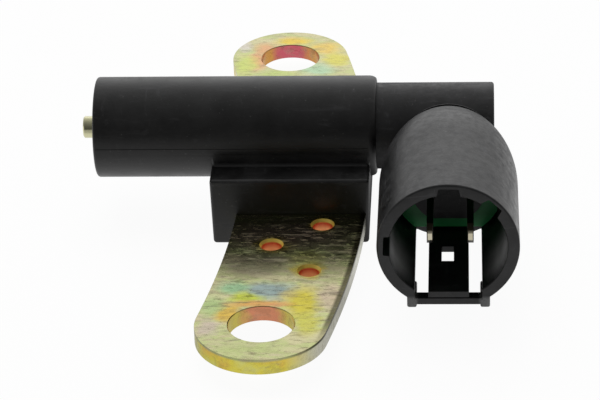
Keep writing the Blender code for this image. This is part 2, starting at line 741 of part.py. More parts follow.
def make_connector(material):
    """The arm and the plug socket, moulded in one, with the terminals' channels."""
    arm_start = SPIGOT_X + MOULD_GAP
    arm_profile = [(0, ARM_END)]
    arm_profile += quarter(ARM_RADIUS, ARM_END, ARM_ROUND, ARM_ROUND, ROUND_STEPS)
    arm_profile += [(ARM_RADIUS, arm_start), (0, arm_start)]
    body = turned("connector_body", arm_profile, "X", (0, 0, AXIS_HEIGHT))
    combine_closed(body, "UNION", make_socket_shell())
    cut_bore(body)
    combine_closed(body, "DIFFERENCE", make_window())
    combine_closed(body, "UNION", make_foot(-1, WINDOW_LEFT))
    combine_closed(body, "UNION", make_foot(1, WINDOW_RIGHT))
    bridge = socket_bar(
        "latch_bridge",
        -WINDOW_LEFT - FOOT_WIDTH / 2,
        WINDOW_RIGHT + FOOT_WIDTH / 2,
        -BRIDGE_TOP - BRIDGE_THICKNESS,
        -BRIDGE_TOP,
        2 * BRIDGE_SETBACK,
        BRIDGE_LENGTH,
    )
    combine_closed(body, "UNION", bridge)
    combine_closed(body, "UNION", make_tongue())
    for side, word in ((-1, "left"), (1, "right")):
        cut_channel(body, side, word)
    return finish_part(body, material)


def make_tongue():
    """The latch tongue: it slopes down from the back of the bore to the bridge, with a catch window."""
    front = RIM_Y + 3 * BRIDGE_SETBACK
    foot = RIM_Y + BRIDGE_LENGTH - BRIDGE_SETBACK
    root = RIM_Y + BORE_DEPTH + TONGUE_THICKNESS
    top_front = AXIS_HEIGHT - TONGUE_TOP_FRONT
    top_back = AXIS_HEIGHT - TONGUE_TOP_BACK
    slope = (top_back - top_front) / (root - front)
    outline = [
        (front, top_front),
        (front, AXIS_HEIGHT - BRIDGE_TOP - BRIDGE_THICKNESS / 2),
        (foot, AXIS_HEIGHT - BRIDGE_TOP - BRIDGE_THICKNESS / 2),
        (foot, top_front - TONGUE_THICKNESS + slope * (foot - front)),
        (root, top_back - TONGUE_THICKNESS),
        (root, top_back),
    ]
    tongue = outlined("latch_tongue", [outline], SOCKET_X - TONGUE_LEFT, SOCKET_X + TONGUE_RIGHT, "YZ")
    catch = socket_bar(
        "catch_window",
        -CATCH_LEFT,
        CATCH_RIGHT,
        -SOCKET_RADIUS,
        -CORE_RADIUS,
        CATCH_START,
        CATCH_END,
    )
    combine(tongue, "DIFFERENCE", catch)
    return tongue


def make_seal(material):
    """The rubber seal round the core at the bottom of the socket, flat on its lower side."""
    front = SOCKET_REACH - CORE_DEPTH - MOULD_GAP
    back = SOCKET_REACH - BORE_DEPTH + MOULD_GAP
    outer = flat_circle(SEAL_RADIUS, SEAL_FLAT, MEDIUM_STEPS)
    inner = flat_circle(CORE_RADIUS + MOULD_GAP, CORE_FLAT + MOULD_GAP, MEDIUM_STEPS)
    seal = outlined("seal_ring", [outer, inner], back, front, "XY")
    seal.matrix_world = SOCKET_FRAME @ seal.matrix_world
    round_edges(seal, SEAL_ROUND, SEAL_BEVEL_ANGLE)
    return finish_part(seal, material)


def build():
    clear_scene()
    black = make_material("black_moulding", (0.018, 0.018, 0.020), 0.42)
    socket_black = make_material("black_socket", (0.020, 0.020, 0.022), 0.48)
    zinc = make_material("yellow_zinc", (0.56, 0.50, 0.30), 0.38, 0.85)
    iron = make_material("bare_iron", (0.46, 0.44, 0.42), 0.35, 1.0)
    ferrite = make_material("magnet_grey", (0.10, 0.10, 0.11), 0.45, 0.3)
    natural = make_material("bobbin_natural", (0.72, 0.66, 0.52), 0.5)
    copper = make_material("enamelled_copper", (0.55, 0.20, 0.07), 0.3, 0.9)
    amber = make_material("insulating_tape", (0.65, 0.38, 0.06), 0.35)
    green = make_material("green_rubber", (0.02, 0.22, 0.06), 0.55)
    tinned = make_material("tinned_brass", (0.78, 0.74, 0.62), 0.3, 1.0)

    make_overmould(black)
    make_connector(socket_black)
    make_plate(zinc)
    make_pole_pin(iron)
    make_disc("magnet", MAGNET_RADIUS, MAGNET_X, MAGNET_LENGTH, ferrite)
    make_disc("yoke_disc", MAGNET_RADIUS, YOKE_X, YOKE_LENGTH, iron)
    make_bobbin(natural)
    winding_start = WINDING_FRONT_X + FIT_GAP
    winding_length = WINDING_LENGTH - 2 * FIT_GAP
    winding_bore = BOBBIN_RADIUS + FIT_GAP
    make_ring("coil_winding", winding_bore, WINDING_RADIUS, winding_start, winding_length, copper)
    tape_bore = WINDING_RADIUS + MOULD_GAP
    tape_radius = tape_bore + TAPE_THICKNESS
    make_ring("coil_tape", tape_bore, tape_radius, winding_start, winding_length, amber)
    make_seal(green)
    for side, word in ((-1, "left"), (1, "right")):
        make_terminal(f"terminal_{word}", side, tinned)
        make_coil_lead(f"coil_lead_{word}", side, copper)


build()
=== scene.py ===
"""Looks of the crankshaft position sensor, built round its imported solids. Units are metres, +Z up."""

import json
import math

import bmesh
import bpy
from mathutils import Matrix, Vector

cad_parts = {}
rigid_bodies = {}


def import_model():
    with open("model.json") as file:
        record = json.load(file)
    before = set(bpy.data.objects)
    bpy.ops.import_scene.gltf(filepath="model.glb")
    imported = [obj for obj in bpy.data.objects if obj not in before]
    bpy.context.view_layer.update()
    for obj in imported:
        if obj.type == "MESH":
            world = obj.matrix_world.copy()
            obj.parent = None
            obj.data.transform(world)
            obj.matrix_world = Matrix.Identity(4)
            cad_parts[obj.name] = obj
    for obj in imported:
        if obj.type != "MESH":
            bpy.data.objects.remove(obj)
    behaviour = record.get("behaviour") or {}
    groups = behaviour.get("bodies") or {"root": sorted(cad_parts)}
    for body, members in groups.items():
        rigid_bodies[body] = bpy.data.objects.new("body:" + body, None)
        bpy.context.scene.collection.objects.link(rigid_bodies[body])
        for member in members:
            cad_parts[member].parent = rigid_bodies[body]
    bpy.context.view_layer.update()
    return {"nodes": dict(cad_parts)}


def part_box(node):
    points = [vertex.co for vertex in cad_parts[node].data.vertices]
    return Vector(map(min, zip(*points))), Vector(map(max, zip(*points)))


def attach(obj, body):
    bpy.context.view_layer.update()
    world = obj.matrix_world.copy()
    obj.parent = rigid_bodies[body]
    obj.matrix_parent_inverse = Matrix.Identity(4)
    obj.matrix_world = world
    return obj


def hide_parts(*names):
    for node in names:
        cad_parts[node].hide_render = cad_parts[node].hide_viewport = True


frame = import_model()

MM = 0.001
IMAGE_WIDTH = 600

# Camera, fitted to the outlines in the photograph
CAMERA_PLACE = (22.518 * MM, -338.795 * MM, 192.592 * MM)
CAMERA_FORWARD = (-0.056037, 0.868604, -0.492328)
CAMERA_UP = (0.003506, 0.493271, 0.869869)
CAMERA_FOCAL = 2904.55
SENSOR_WIDTH = 36.0

# Facets in a full turn
FINE_STEPS = 160
MEDIUM_STEPS = 96
SMALL_STEPS = 48
SHOULDER_STEPS = 36

# Seams between the pieces, drawn finer than the solids' gaps
SEAM = 0.03 * MM
CUT_MARGIN = 1.0 * MM

# Sizes that the nodes' boxes don't give
NOSE_ROUND = 0.38 * MM
NOSE_WALL = 1.3 * MM
BARREL_WALL = 1.0 * MM
BLOCK_LENGTH = 20.94 * MM
BLOCK_DRAFT = math.radians(1.2)
BLOCK_ROUND = 0.45 * MM
LEDGE_DROP = 2.39 * MM
STEP_INSET = 0.05 * MM
TAIL_X = 10.20 * MM
TAIL_RADIUS = 6.09 * MM
RIDGE_HEIGHT = 0.07 * MM
RIDGE_WIDTH = 0.28 * MM
ARM_RADIUS = 5.69 * MM
ARM_END = 26.62 * MM
ARM_ROUND = 0.35 * MM
PIN_RADIUS = 1.455 * MM
PIN_CHAMFER = 0.16 * MM
PIN_HEAD_LENGTH = 0.8 * MM
HOLE_SPACING = 72.3 * MM
HOLE_MIDDLE = (-2.23 * MM, -1.457 * MM)
HOLE_RADIUS = 4.1 * MM
BULGE_REACH = 12.33 * MM
HOLLOW_REACH = 4.55 * MM
PLATE_EDGE_TOP = 0.42 * MM
HOLE_CHAMFER = 0.10 * MM
PUNCH_RADIUS = 1.3 * MM
PUNCH_MOUTH = 1.56 * MM
PUNCH_SINK = 0.4 * MM
PUNCH_PLACES = ((-2.01 * MM, -18.42 * MM), (4.33 * MM, -13.34 * MM), (3.09 * MM, -24.92 * MM))
SHOULDER_LENGTH = 15.0 * MM
SHOULDER_BACK = 2.0 * MM
SOCKET_ROUND = 0.25 * MM
SOCKET_WALL = 1.5 * MM
BORE_DEPTH = 18.7 * MM
CORE_RADIUS = 4.7 * MM
CORE_DEPTH = 14.45 * MM
CORE_FLAT = 4.13 * MM
KEY_DEPTH = 12.5 * MM
WINDOW_LEFT = 4.17 * MM
WINDOW_RIGHT = 4.20 * MM
WINDOW_DEPTH = 17.8 * MM
WINDOW_ROUND = 0.25 * MM
FOOT_WIDTH = 1.2 * MM
FOOT_LENGTH = 4.5 * MM
FOOT_LEDGE = 0.25 * MM
FOOT_ROUND = 0.25 * MM
BRIDGE_THICKNESS = 0.9 * MM
BRIDGE_LENGTH = 1.6 * MM
BRIDGE_SETBACK = 0.05 * MM
BRIDGE_GROOVE = 0.12 * MM
TONGUE_ROUND = 0.08 * MM
KEY_ROUND = 0.12 * MM
RIM_CHAMFER = 0.10 * MM
TONGUE_LEFT = 2.49 * MM
TONGUE_RIGHT = 2.55 * MM
TONGUE_THICKNESS = 0.8 * MM
TONGUE_RISE_BACK = 1.65 * MM
TONGUE_RISE_FRONT = 0.92 * MM
CATCH_LEFT = 0.86 * MM
CATCH_RIGHT = 0.67 * MM
CATCH_START = 7.15 * MM
CATCH_END = 10.5 * MM
SEAL_FLAT = 5.4 * MM
SEAL_ROUND = 0.45 * MM

# Each keyway's place round the bore, width at the bore, width at its floor, and rise from the bore
KEYWAYS = (
    (math.radians(89.3), 2.9 * MM, 2.5 * MM, 0.9 * MM),
    (math.radians(178.5), 2.76 * MM, 2.56 * MM, 0.7 * MM),
    (math.radians(45.9), 2.9 * MM, 2.2 * MM, 1.0 * MM),
)

# The moulding's witness line at the top of the shoulder
LIP_DEPTH = 5.6 * MM
LIP_RADIUS = 6.12 * MM
LIP_WIDTH = 0.10 * MM
LIP_THICKNESS = 0.22 * MM

# Places read from the frame
OVERMOULD_LOW, OVERMOULD_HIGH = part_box("sensor_overmould")
CONNECTOR_LOW, CONNECTOR_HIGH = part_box("connector_body")
PLATE_LOW, PLATE_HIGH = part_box("mounting_plate")
PIN_LOW, PIN_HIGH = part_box("pole_pin")
SEAL_LOW, SEAL_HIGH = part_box("seal_ring")
AXIS_HEIGHT = (PIN_LOW.z + PIN_HIGH.z) / 2
BARREL_RADIUS = OVERMOULD_HIGH.z - AXIS_HEIGHT
NOSE_X = OVERMOULD_LOW.x
TAIL_END_X = OVERMOULD_HIGH.x
BLOCK_FRONT = OVERMOULD_HIGH.y
SOCKET_RADIUS = CONNECTOR_HIGH.z - AXIS_HEIGHT
SOCKET_X = CONNECTOR_HIGH.x - SOCKET_RADIUS
RIM_Y = CONNECTOR_LOW.y
SOCKET_REACH = -RIM_Y
FOOT_DROP = AXIS_HEIGHT - CONNECTOR_LOW.z
BORE_RADIUS = SOCKET_RADIUS - SOCKET_WALL
BRIDGE_TOP = BORE_RADIUS
TONGUE_TOP_BACK = BORE_RADIUS - TONGUE_RISE_BACK
TONGUE_TOP_FRONT = BORE_RADIUS - TONGUE_RISE_FRONT
SPIGOT_X = CONNECTOR_LOW.x
SEAL_RADIUS = SEAL_HIGH.z - AXIS_HEIGHT
HOLE_HALF = HOLE_SPACING / 2
LOBE_RADIUS = HOLE_MIDDLE[1] - HOLE_HALF - PLATE_LOW.y
BULGE_RADIUS = (BULGE_REACH**2 + HOLE_HALF**2 - LOBE_RADIUS**2) / (2 * (BULGE_REACH - LOBE_RADIUS))
BULGE_CENTRE = (HOLE_MIDDLE[0] + BULGE_REACH - BULGE_RADIUS, HOLE_MIDDLE[1])
BLADE_TIP_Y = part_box("terminal_left")[0].y

# Light. The world's levels are given by the cosine of the angle to its bright side
FLOOR_SIZE = 3.0
FLOOR_WHITE = (0.92, 0.92, 0.92)
FLOOR_GLOW = 0.95
# How bright the floor glows where gloss sees it, from front to back; the dip about 26 to 36 mm in front of
# the axis is painted shade from the object
FLOOR_MIRRORED_FRONT = -150 * MM
FLOOR_MIRRORED_BACK = 50 * MM
FLOOR_MIRRORED = (
    (0.0, 0.25),
    (0.35, 0.38),
    (0.50, 0.68),
    (0.57, 0.50),
    (0.62, 0.42),
    (0.71, 0.90),
    (0.80, 0.94),
    (1.0, 0.76),
)
# A painted shadow on that glow, between the block and the socket
FLOOR_DIM_CENTRE = (10.5 * MM, 2 * MM)
FLOOR_DIM_REACH = (6 * MM, 12 * MM)
FLOOR_DIM = 0.9
FLOOR_DIM_EDGE = (0.5, 1.4)
LAMP_PLACE = (-0.10, 0.30, 0.70)
LAMP_SIZE = 0.60
LAMP_POWER = 3.2
WORLD_BRIGHT_SIDE = (0, 0.94, 0.34)
WORLD_STRENGTH = 1.35
WORLD_LIGHT = (
    (-1.0, 0.05),
    (-0.60, 0.10),
    (-0.10, 0.17),
    (0.30, 0.26),
    (0.55, 0.36),
    (0.80, 0.50),
    (0.92, 0.70),
    (1.0, 1.0),
)

# Film on the plate: centre and reach in millimetres, strength, colour as it shows
FILM_LEVEL = 0.80
FILM_DRIFT = (3.2 * MM, 2.0 * MM, 0)
PLATE_FILM = (
    ((4.4, -25.6), (4.4, 2.8), 0.28, (136, 128, 100)),
    ((-3.8, -23.8), (5.0, 3.4), 0.70, (132, 122, 102)),
    ((0.0, -16.0), (9.0, 3.6), 0.60, (224, 190, 176)),
    ((2.6, -22.4), (2.6, 3.0), 0.50, (214, 214, 104)),
    ((-1.6, -18.6), (3.0, 2.6), 0.35, (214, 180, 80)),
    ((-1.8, -29.7), (3.9, 2.4), 0.95, (150, 170, 168)),
    ((-6.2, -29.0), (2.4, 1.8), 0.85, (150, 196, 150)),
    ((-4.6, -31.4), (2.2, 1.6), 0.95, (196, 206, 66)),
    ((2.6, -32.6), (2.6, 4.2), 0.95, (212, 198, 66)),
    ((0.6, -31.0), (1.4, 1.2), 0.55, (206, 186, 110)),
    ((3.4, -37.4), (2.0, 3.4), 0.85, (208, 204, 84)),
    ((-6.4, -35.0), (1.9, 2.6), 0.90, (224, 184, 72)),
    ((-2.6, -33.0), (4.4, 0.9), 0.80, (224, 160, 80)),
    ((-0.6, -33.2), (2.0, 0.7), 0.45, (216, 150, 110)),
    ((-8.8, -33.4), (1.8, 2.8), 0.70, (170, 200, 130)),
    ((6.2, -31.0), (1.8, 3.6), 0.70, (204, 180, 160)),
    ((-8.8, -38.6), (1.6, 2.2), 0.70, (206, 186, 178)),
    ((-3.0, -43.2), (5.4, 1.5), 0.50, (186, 200, 130)),
    ((-6.8, 33.6), (1.6, 3.4), 0.90, (232, 172, 124)),
    ((-5.8, 37.6), (2.2, 2.0), 0.85, (230, 172, 124)),
    ((-2.0, 40.0), (3.0, 1.5), 0.90, (236, 204, 70)),
    ((2.6, 37.6), (2.6, 2.2), 0.90, (238, 204, 100)),
    ((4.4, 34.2), (2.0, 2.6), 0.80, (224, 214, 90)),
    ((1.8, 30.8), (3.0, 2.0), 0.85, (180, 214, 178)),
    ((-8.4, 32.6), (1.8, 3.8), 0.75, (206, 218, 110)),
    ((-3.4, 29.4), (3.4, 1.6), 0.75, (194, 210, 124)),
    ((-9.0, 38.4), (1.2, 2.0), 0.70, (222, 214, 210)),
)

# Film on the walls of the front and the rear hole: side, colour in the middle, colour at the sides
HOLE_FILM = ((-1, (255, 170, 130), (255, 236, 118)), (1, (206, 100, 112), (214, 156, 80)))

# Black plastics, greys of scuffs and dust, the painted highlight on the feet and in the bore, and the
# blades' painted shade brown
MOULDING_BLACK = (0.0080, 0.0080, 0.0080)
MOULDING_ROUGHNESS = 0.40
SOCKET_BLACK = (0.010, 0.010, 0.0105)
SOCKET_ROUGHNESS = 0.36
SCUFF_GREY = (0.045, 0.045, 0.047)
DUST_GREY = (0.11, 0.11, 0.105)
FOOT_PAINTED_HIGHLIGHT = (0.21, 0.21, 0.21)
BORE_PAINTED_HIGHLIGHT = (0.40, 0.40, 0.40)
BORE_HIGHLIGHT_DEPTH = 11.0 * MM
BLADE_SHADE_BROWN = (0.05, 0.042, 0.028)

# The painted dark reflection in a line along the plate's right edge, as distances in from its arc
EDGE_REFLECTION_START = 0.85 * MM
EDGE_REFLECTION_END = 0.50 * MM
EDGE_REFLECTION_STRENGTH = 0.9

# How much rougher the connector gets past its shoulder, and between which depths behind the rim
SHOULDER_DULLER = 0.16
SHOULDER_DEPTHS = (15 * MM, 26 * MM)

# Where the painted highlight on the feet fades out above the bridge and beside the window
FOOT_FADE_BELOW = 0.1 * MM
FOOT_FADE_ABOVE = 0.4 * MM
FOOT_FADE_SIDE = (0.5 * MM, 0.1 * MM)

# How far from the middle of a bolt hole's back wall its film changes colour
HOLE_FILM_SPREAD = (1.4 * MM, 3.2 * MM)

ROUND_AXIS = {
    "X": Matrix.Rotation(math.radians(90), 4, "Y"),
    "Z": Matrix.Identity(4),
    "-Y": Matrix.Rotation(math.radians(90), 4, "X"),
}
OUTLINE_PLANE = {
    "XY": Matrix.Identity(4),
    "YZ": Matrix(((0, 0, 1, 0), (1, 0, 0, 0), (0, 1, 0, 0), (0, 0, 0, 1))),
}
SOCKET_FRAME = Matrix.Translation((SOCKET_X, 0, AXIS_HEIGHT)) @ ROUND_AXIS["-Y"]

scratch = bpy.data.collections.new("scratch")
bpy.context.scene.collection.children.link(scratch)


# Mesh helpers


def place(name, data, matrix=None):
    obj = bpy.data.objects.new(name, data)
    obj.matrix_world = matrix or Matrix.Identity(4)
    scratch.objects.link(obj)
    return obj


def evaluated_mesh(obj):
    bpy.context.view_layer.update()
    return bpy.data.meshes.new_from_object(obj.evaluated_get(bpy.context.evaluated_depsgraph_get()))


def turned(name, profile, axis, centre, steps=FINE_STEPS, closed=False):
    """A profile of (radius, height) points, running down the outer side, swept round its axis."""
    mesh = bpy.data.meshes.new(name)
    edges = [(i, i + 1) for i in range(len(profile) - 1)]
    if closed:
        edges.append((len(profile) - 1, 0))
    mesh.from_pydata([(radius, 0, height) for radius, height in profile], edges, [])
    obj = place(name, mesh, Matrix.Translation(centre) @ ROUND_AXIS[axis])
    screw = obj.modifiers.new("Turn", "SCREW")
    screw.steps = steps
    screw.render_steps = steps
    screw.use_merge_vertices = True
    screw.merge_threshold = 1e-6
    return obj


def outlined(name, loops, low, high, plane):
    """Flat closed loops, the first outside and the rest holes, extruded from low to high."""
    curve = bpy.data.curves.new(name, "CURVE")
    curve.dimensions = "2D"
    curve.fill_mode = "BOTH"
    curve.extrude = (high - low) / 2
    for loop in loops:
        spline = curve.splines.new("POLY")
        spline.points.add(len(loop) - 1)
        for point, (u, v) in zip(spline.points, loop):
            point.co = (u, v, 0, 1)
        spline.use_cyclic_u = True
    matrix = OUTLINE_PLANE[plane].copy()
    middle = (low + high) / 2
    matrix.translation = {"XY": (0, 0, middle), "YZ": (middle, 0, 0)}[plane]
    obj = place(name, curve, matrix)
    mesh = evaluated_mesh(obj)
    work = bmesh.new()
    work.from_mesh(mesh)
    bmesh.ops.remove_doubles(work, verts=work.verts, dist=1e-7)
    bmesh.ops.recalc_face_normals(work, faces=work.faces)
    work.to_mesh(mesh)
    work.free()
    bpy.data.objects.remove(obj, do_unlink=True)
    return place(name, mesh, matrix)


def box(name, low, high, matrix=None):
    mesh = bpy.data.meshes.new(name)
    work = bmesh.new()
    size = [b - a for a, b in zip(low, high)]
    middle = [(a + b) / 2 for a, b in zip(low, high)]
    bmesh.ops.create_cube(work, matrix=Matrix.Translation(middle) @ Matrix.Diagonal((*size, 1)))
    work.to_mesh(mesh)
    work.free()
    return place(name, mesh, matrix)


def socket_box(name, left, right, drop, top, near, far):
    """A box in the socket's axes: X across, Y up from its axis, and depth behind its rim."""
    return box(name, (left, drop, SOCKET_REACH - far), (right, top, SOCKET_REACH - near), SOCKET_FRAME)


def combine(obj, operation, other, solver="MANIFOLD"):
    modifier = obj.modifiers.new(operation.title(), "BOOLEAN")
    modifier.operation = operation
    modifier.object = other
    modifier.solver = solver


def round_edges(obj, width, segments=2, angle=40, profile=0.5):
    bevel = obj.modifiers.new("Rounded edges", "BEVEL")
    bevel.width = width
    bevel.segments = segments
    bevel.profile = profile
    bevel.limit_method = "ANGLE"
    bevel.angle_limit = math.radians(angle)
    bevel.use_clamp_overlap = True


def settle(obj, sharp=32):
    """Applies the modifiers, shades smooth but for sharp edges, and clears the helpers away."""
    mesh = evaluated_mesh(obj)
    mesh.transform(obj.matrix_world)
    mesh.name = obj.name
    mesh.materials.clear()
    mesh.shade_smooth()
    mesh.set_sharp_from_angle(angle=math.radians(sharp))
    name = obj.name
    for other in list(scratch.objects):
        bpy.data.objects.remove(other, do_unlink=True)
    piece = bpy.data.objects.new(name, mesh)
    bpy.context.scene.collection.objects.link(piece)
    weighted = piece.modifiers.new("Flat faces shade flat", "WEIGHTED_NORMAL")
    weighted.keep_sharp = True
    return piece


def arc(centre, radius, start, end, steps):
    turn = (end - start) / steps
    return [
        (
            centre[0] + radius * math.cos(start + turn * i),
            centre[1] + radius * math.sin(start + turn * i),
        )
        for i in range(steps + 1)
    ]


def flat_circle(radius, flat, steps):
    corner = math.asin(flat / radius)
    return arc((0, 0), radius, -corner, math.pi + corner, steps)


def quarter(radius, height, reach, rise, steps=8):
    """Profile points round a corner, from its end face down to its side."""
    return [
        (
            radius - reach + reach * math.sin(math.pi / 2 * i / steps),
            height - rise + rise * math.cos(math.pi / 2 * i / steps),
        )
        for i in range(steps + 1)
    ]


def plate_outline(grow):
    """The plate's edge moved out by grow: two lobes, a bulged right edge and a hollow left edge."""
    middle = HOLE_MIDDLE
    lobe = LOBE_RADIUS + grow
    hollow = (HOLLOW_REACH**2 + HOLE_HALF**2 - LOBE_RADIUS**2) / (2 * (LOBE_RADIUS - HOLLOW_REACH))
    hollow_centre = (middle[0] - HOLLOW_REACH - hollow, middle[1])
    bulge_angle = math.asin(HOLE_HALF / (BULGE_RADIUS - LOBE_RADIUS))
    hollow_angle = math.asin(HOLE_HALF / (hollow + LOBE_RADIUS))
    lobe_steps = MEDIUM_STEPS // 2
    edge_steps = 40
    points = arc(BULGE_CENTRE, BULGE_RADIUS + grow, -bulge_angle, bulge_angle, edge_steps)
    back_lobe = (middle[0], middle[1] + HOLE_HALF)
    points += arc(back_lobe, lobe, bulge_angle, math.pi + hollow_angle, lobe_steps)[1:]
    points += arc(hollow_centre, hollow - grow, hollow_angle, -hollow_angle, edge_steps)[1:]
    front_lobe = (middle[0], middle[1] - HOLE_HALF)
    points += arc(front_lobe, lobe, math.pi - hollow_angle, 2 * math.pi - bulge_angle, lobe_steps)[1:-1]
    return points


# Pieces


def make_overmould():
    centre = (0, 0, AXIS_HEIGHT)
    profile = [(0, TAIL_END_X)]
    profile += quarter(BARREL_RADIUS, TAIL_END_X, BARREL_RADIUS - TAIL_RADIUS, TAIL_END_X - TAIL_X)
    nose = quarter(BARREL_RADIUS, -NOSE_X, NOSE_ROUND, NOSE_ROUND)
    profile += [(radius, -height) for radius, height in reversed(nose)]
    profile += [(0, NOSE_X)]
    barrel = turned("overmould_skin", profile, "X", centre)
    ledge = AXIS_HEIGHT - LEDGE_DROP
    step = BARREL_RADIUS - STEP_INSET
    section = [(-BLOCK_FRONT, 0), (BLOCK_FRONT, 0), (BLOCK_FRONT, ledge), (step, ledge)]
    section += [(step, AXIS_HEIGHT), (-step, AXIS_HEIGHT), (-step, ledge), (-BLOCK_FRONT, ledge)]
    half = BLOCK_LENGTH / 2
    block = outlined("block", [section], -half, half, "YZ")
    for vertex in block.data.vertices:
        inward = (AXIS_HEIGHT - vertex.co.y) * math.tan(BLOCK_DRAFT)
        vertex.co.z *= 1 - inward / half
    round_edges(block, BLOCK_ROUND, 4)
    combine(barrel, "UNION", block)
    ridge = box(
        "ridge",
        (NOSE_X + NOSE_ROUND, -BARREL_RADIUS - RIDGE_HEIGHT, AXIS_HEIGHT - RIDGE_WIDTH / 2),
        (TAIL_X, BARREL_RADIUS + RIDGE_HEIGHT, AXIS_HEIGHT + RIDGE_WIDTH / 2),
    )
    combine(barrel, "UNION", ridge)
    bore = [
        (0, TAIL_END_X + CUT_MARGIN),
        (ARM_RADIUS + SEAM, TAIL_END_X + CUT_MARGIN),
        (ARM_RADIUS + SEAM, SPIGOT_X),
        (0, SPIGOT_X),
    ]
    combine(barrel, "DIFFERENCE", turned("arm_bore", bore, "X", centre))
    chamber_front = NOSE_X + NOSE_WALL
    chamber = [
        (0, SPIGOT_X + SEAM),
        (BARREL_RADIUS - BARREL_WALL, SPIGOT_X + SEAM),
        (BARREL_RADIUS - BARREL_WALL, chamber_front),
        (PIN_RADIUS + SEAM, chamber_front),
        (PIN_RADIUS + SEAM, NOSE_X - CUT_MARGIN),
        (0, NOSE_X - CUT_MARGIN),
    ]
    combine(barrel, "DIFFERENCE", turned("chamber", chamber, "X", centre, MEDIUM_STEPS))
    slot = outlined("slot", [plate_outline(SEAM)], PLATE_LOW.z - SEAM, PLATE_HIGH.z + SEAM, "XY")
    combine(barrel, "DIFFERENCE", slot)
    return settle(barrel)


def make_plate():
    plate = outlined("plate_skin", [plate_outline(0)], PLATE_LOW.z, PLATE_HIGH.z, "XY")
    round_edges(plate, PLATE_EDGE_TOP, 4)
    for x, y in PUNCH_PLACES:
        cut_hole(plate, (x, y, 0), PUNCH_RADIUS, PUNCH_MOUTH, PUNCH_SINK, SMALL_STEPS)
    for side in (-1, 1):
        centre = (HOLE_MIDDLE[0], HOLE_MIDDLE[1] + side * HOLE_HALF, 0)
        cut_hole(plate, centre, HOLE_RADIUS, HOLE_RADIUS + HOLE_CHAMFER, HOLE_CHAMFER, MEDIUM_STEPS)
    return settle(plate, 24)


def cut_hole(plate, centre, radius, mouth, sink, steps):
    """A hole through the plate whose upper edge is chamfered from its mouth down by sink."""
    wide = mouth + (mouth - radius) * CUT_MARGIN / sink
    profile = [
        (0, PLATE_HIGH.z + CUT_MARGIN),
        (wide, PLATE_HIGH.z + CUT_MARGIN),
        (radius, PLATE_HIGH.z - sink),
        (radius, PLATE_LOW.z - CUT_MARGIN),
        (0, PLATE_LOW.z - CUT_MARGIN),
    ]
    combine(plate, "DIFFERENCE", turned("hole", profile, "Z", centre, steps))


def make_pin():
    head = (PIN_HIGH.z - PIN_LOW.z) / 2
    profile = [(0, PIN_HIGH.x), (head, PIN_HIGH.x), (head, PIN_HIGH.x - PIN_HEAD_LENGTH)]
    profile += [(PIN_RADIUS, PIN_HIGH.x - PIN_HEAD_LENGTH)]
    profile += [(PIN_RADIUS, PIN_LOW.x + PIN_CHAMFER), (PIN_RADIUS - PIN_CHAMFER, PIN_LOW.x)]
    profile += [(0, PIN_LOW.x)]
    return settle(turned("pin_skin", profile, "X", (0, 0, AXIS_HEIGHT), MEDIUM_STEPS))


def make_tongue():
    front = RIM_Y + 3 * BRIDGE_SETBACK
    foot = RIM_Y + BRIDGE_LENGTH - BRIDGE_SETBACK
    root = RIM_Y + BORE_DEPTH + TONGUE_THICKNESS
    top_front = AXIS_HEIGHT - TONGUE_TOP_FRONT
    top_back = AXIS_HEIGHT - TONGUE_TOP_BACK
    slope = (top_back - top_front) / (root - front)
    bridge_middle = AXIS_HEIGHT - BRIDGE_TOP - BRIDGE_THICKNESS / 2
    groove = AXIS_HEIGHT - BRIDGE_TOP
    outline = [
        (front, top_front),
        (front, groove + BRIDGE_GROOVE),
        (front + 3 * BRIDGE_GROOVE, groove + BRIDGE_GROOVE),
        (front + 3 * BRIDGE_GROOVE, bridge_middle),
        (foot, bridge_middle),
        (foot, top_front - TONGUE_THICKNESS + slope * (foot - front)),
        (root, top_back - TONGUE_THICKNESS),
        (root, top_back),
    ]
    tongue = outlined("tongue", [outline], SOCKET_X - TONGUE_LEFT, SOCKET_X + TONGUE_RIGHT, "YZ")
    round_edges(tongue, TONGUE_ROUND)
    drop = (-SOCKET_RADIUS, -CORE_RADIUS)
    catch = socket_box("catch", -CATCH_LEFT, CATCH_RIGHT, *drop, CATCH_START, CATCH_END)
    combine(tongue, "DIFFERENCE", catch)
    return tongue


def make_keyway(angle, width, floor_width, rise):
    mouth = math.sqrt(BORE_RADIUS**2 - (width / 2) ** 2)
    floor = BORE_RADIUS + rise
    inner = mouth - CUT_MARGIN
    inner_width = width + (width - floor_width) * CUT_MARGIN / (floor - mouth)
    outline = [
        (inner, -inner_width / 2),
        (floor, -floor_width / 2),
        (floor, floor_width / 2),
        (inner, inner_width / 2),
    ]
    keyway = outlined("keyway", [outline], SOCKET_REACH - KEY_DEPTH, SOCKET_REACH + CUT_MARGIN, "XY")
    keyway.matrix_world = SOCKET_FRAME @ Matrix.Rotation(angle, 4, "Z") @ keyway.matrix_world
    round_edges(keyway, KEY_ROUND, 2, 30)
    return keyway


def make_window():
    left = SOCKET_X - WINDOW_LEFT
    right = SOCKET_X + WINDOW_RIGHT
    corner_y = RIM_Y + WINDOW_DEPTH - WINDOW_ROUND
    outline = [(left, RIM_Y - CUT_MARGIN), (right, RIM_Y - CUT_MARGIN)]
    outline += arc((right - WINDOW_ROUND, corner_y), WINDOW_ROUND, 0, math.pi / 2, 6)
    outline += arc((left + WINDOW_ROUND, corner_y), WINDOW_ROUND, math.pi / 2, math.pi, 6)
    top = AXIS_HEIGHT - (TONGUE_TOP_BACK + CORE_RADIUS) / 2
    return outlined("window", [outline], CONNECTOR_LOW.z - CUT_MARGIN, top, "XY")


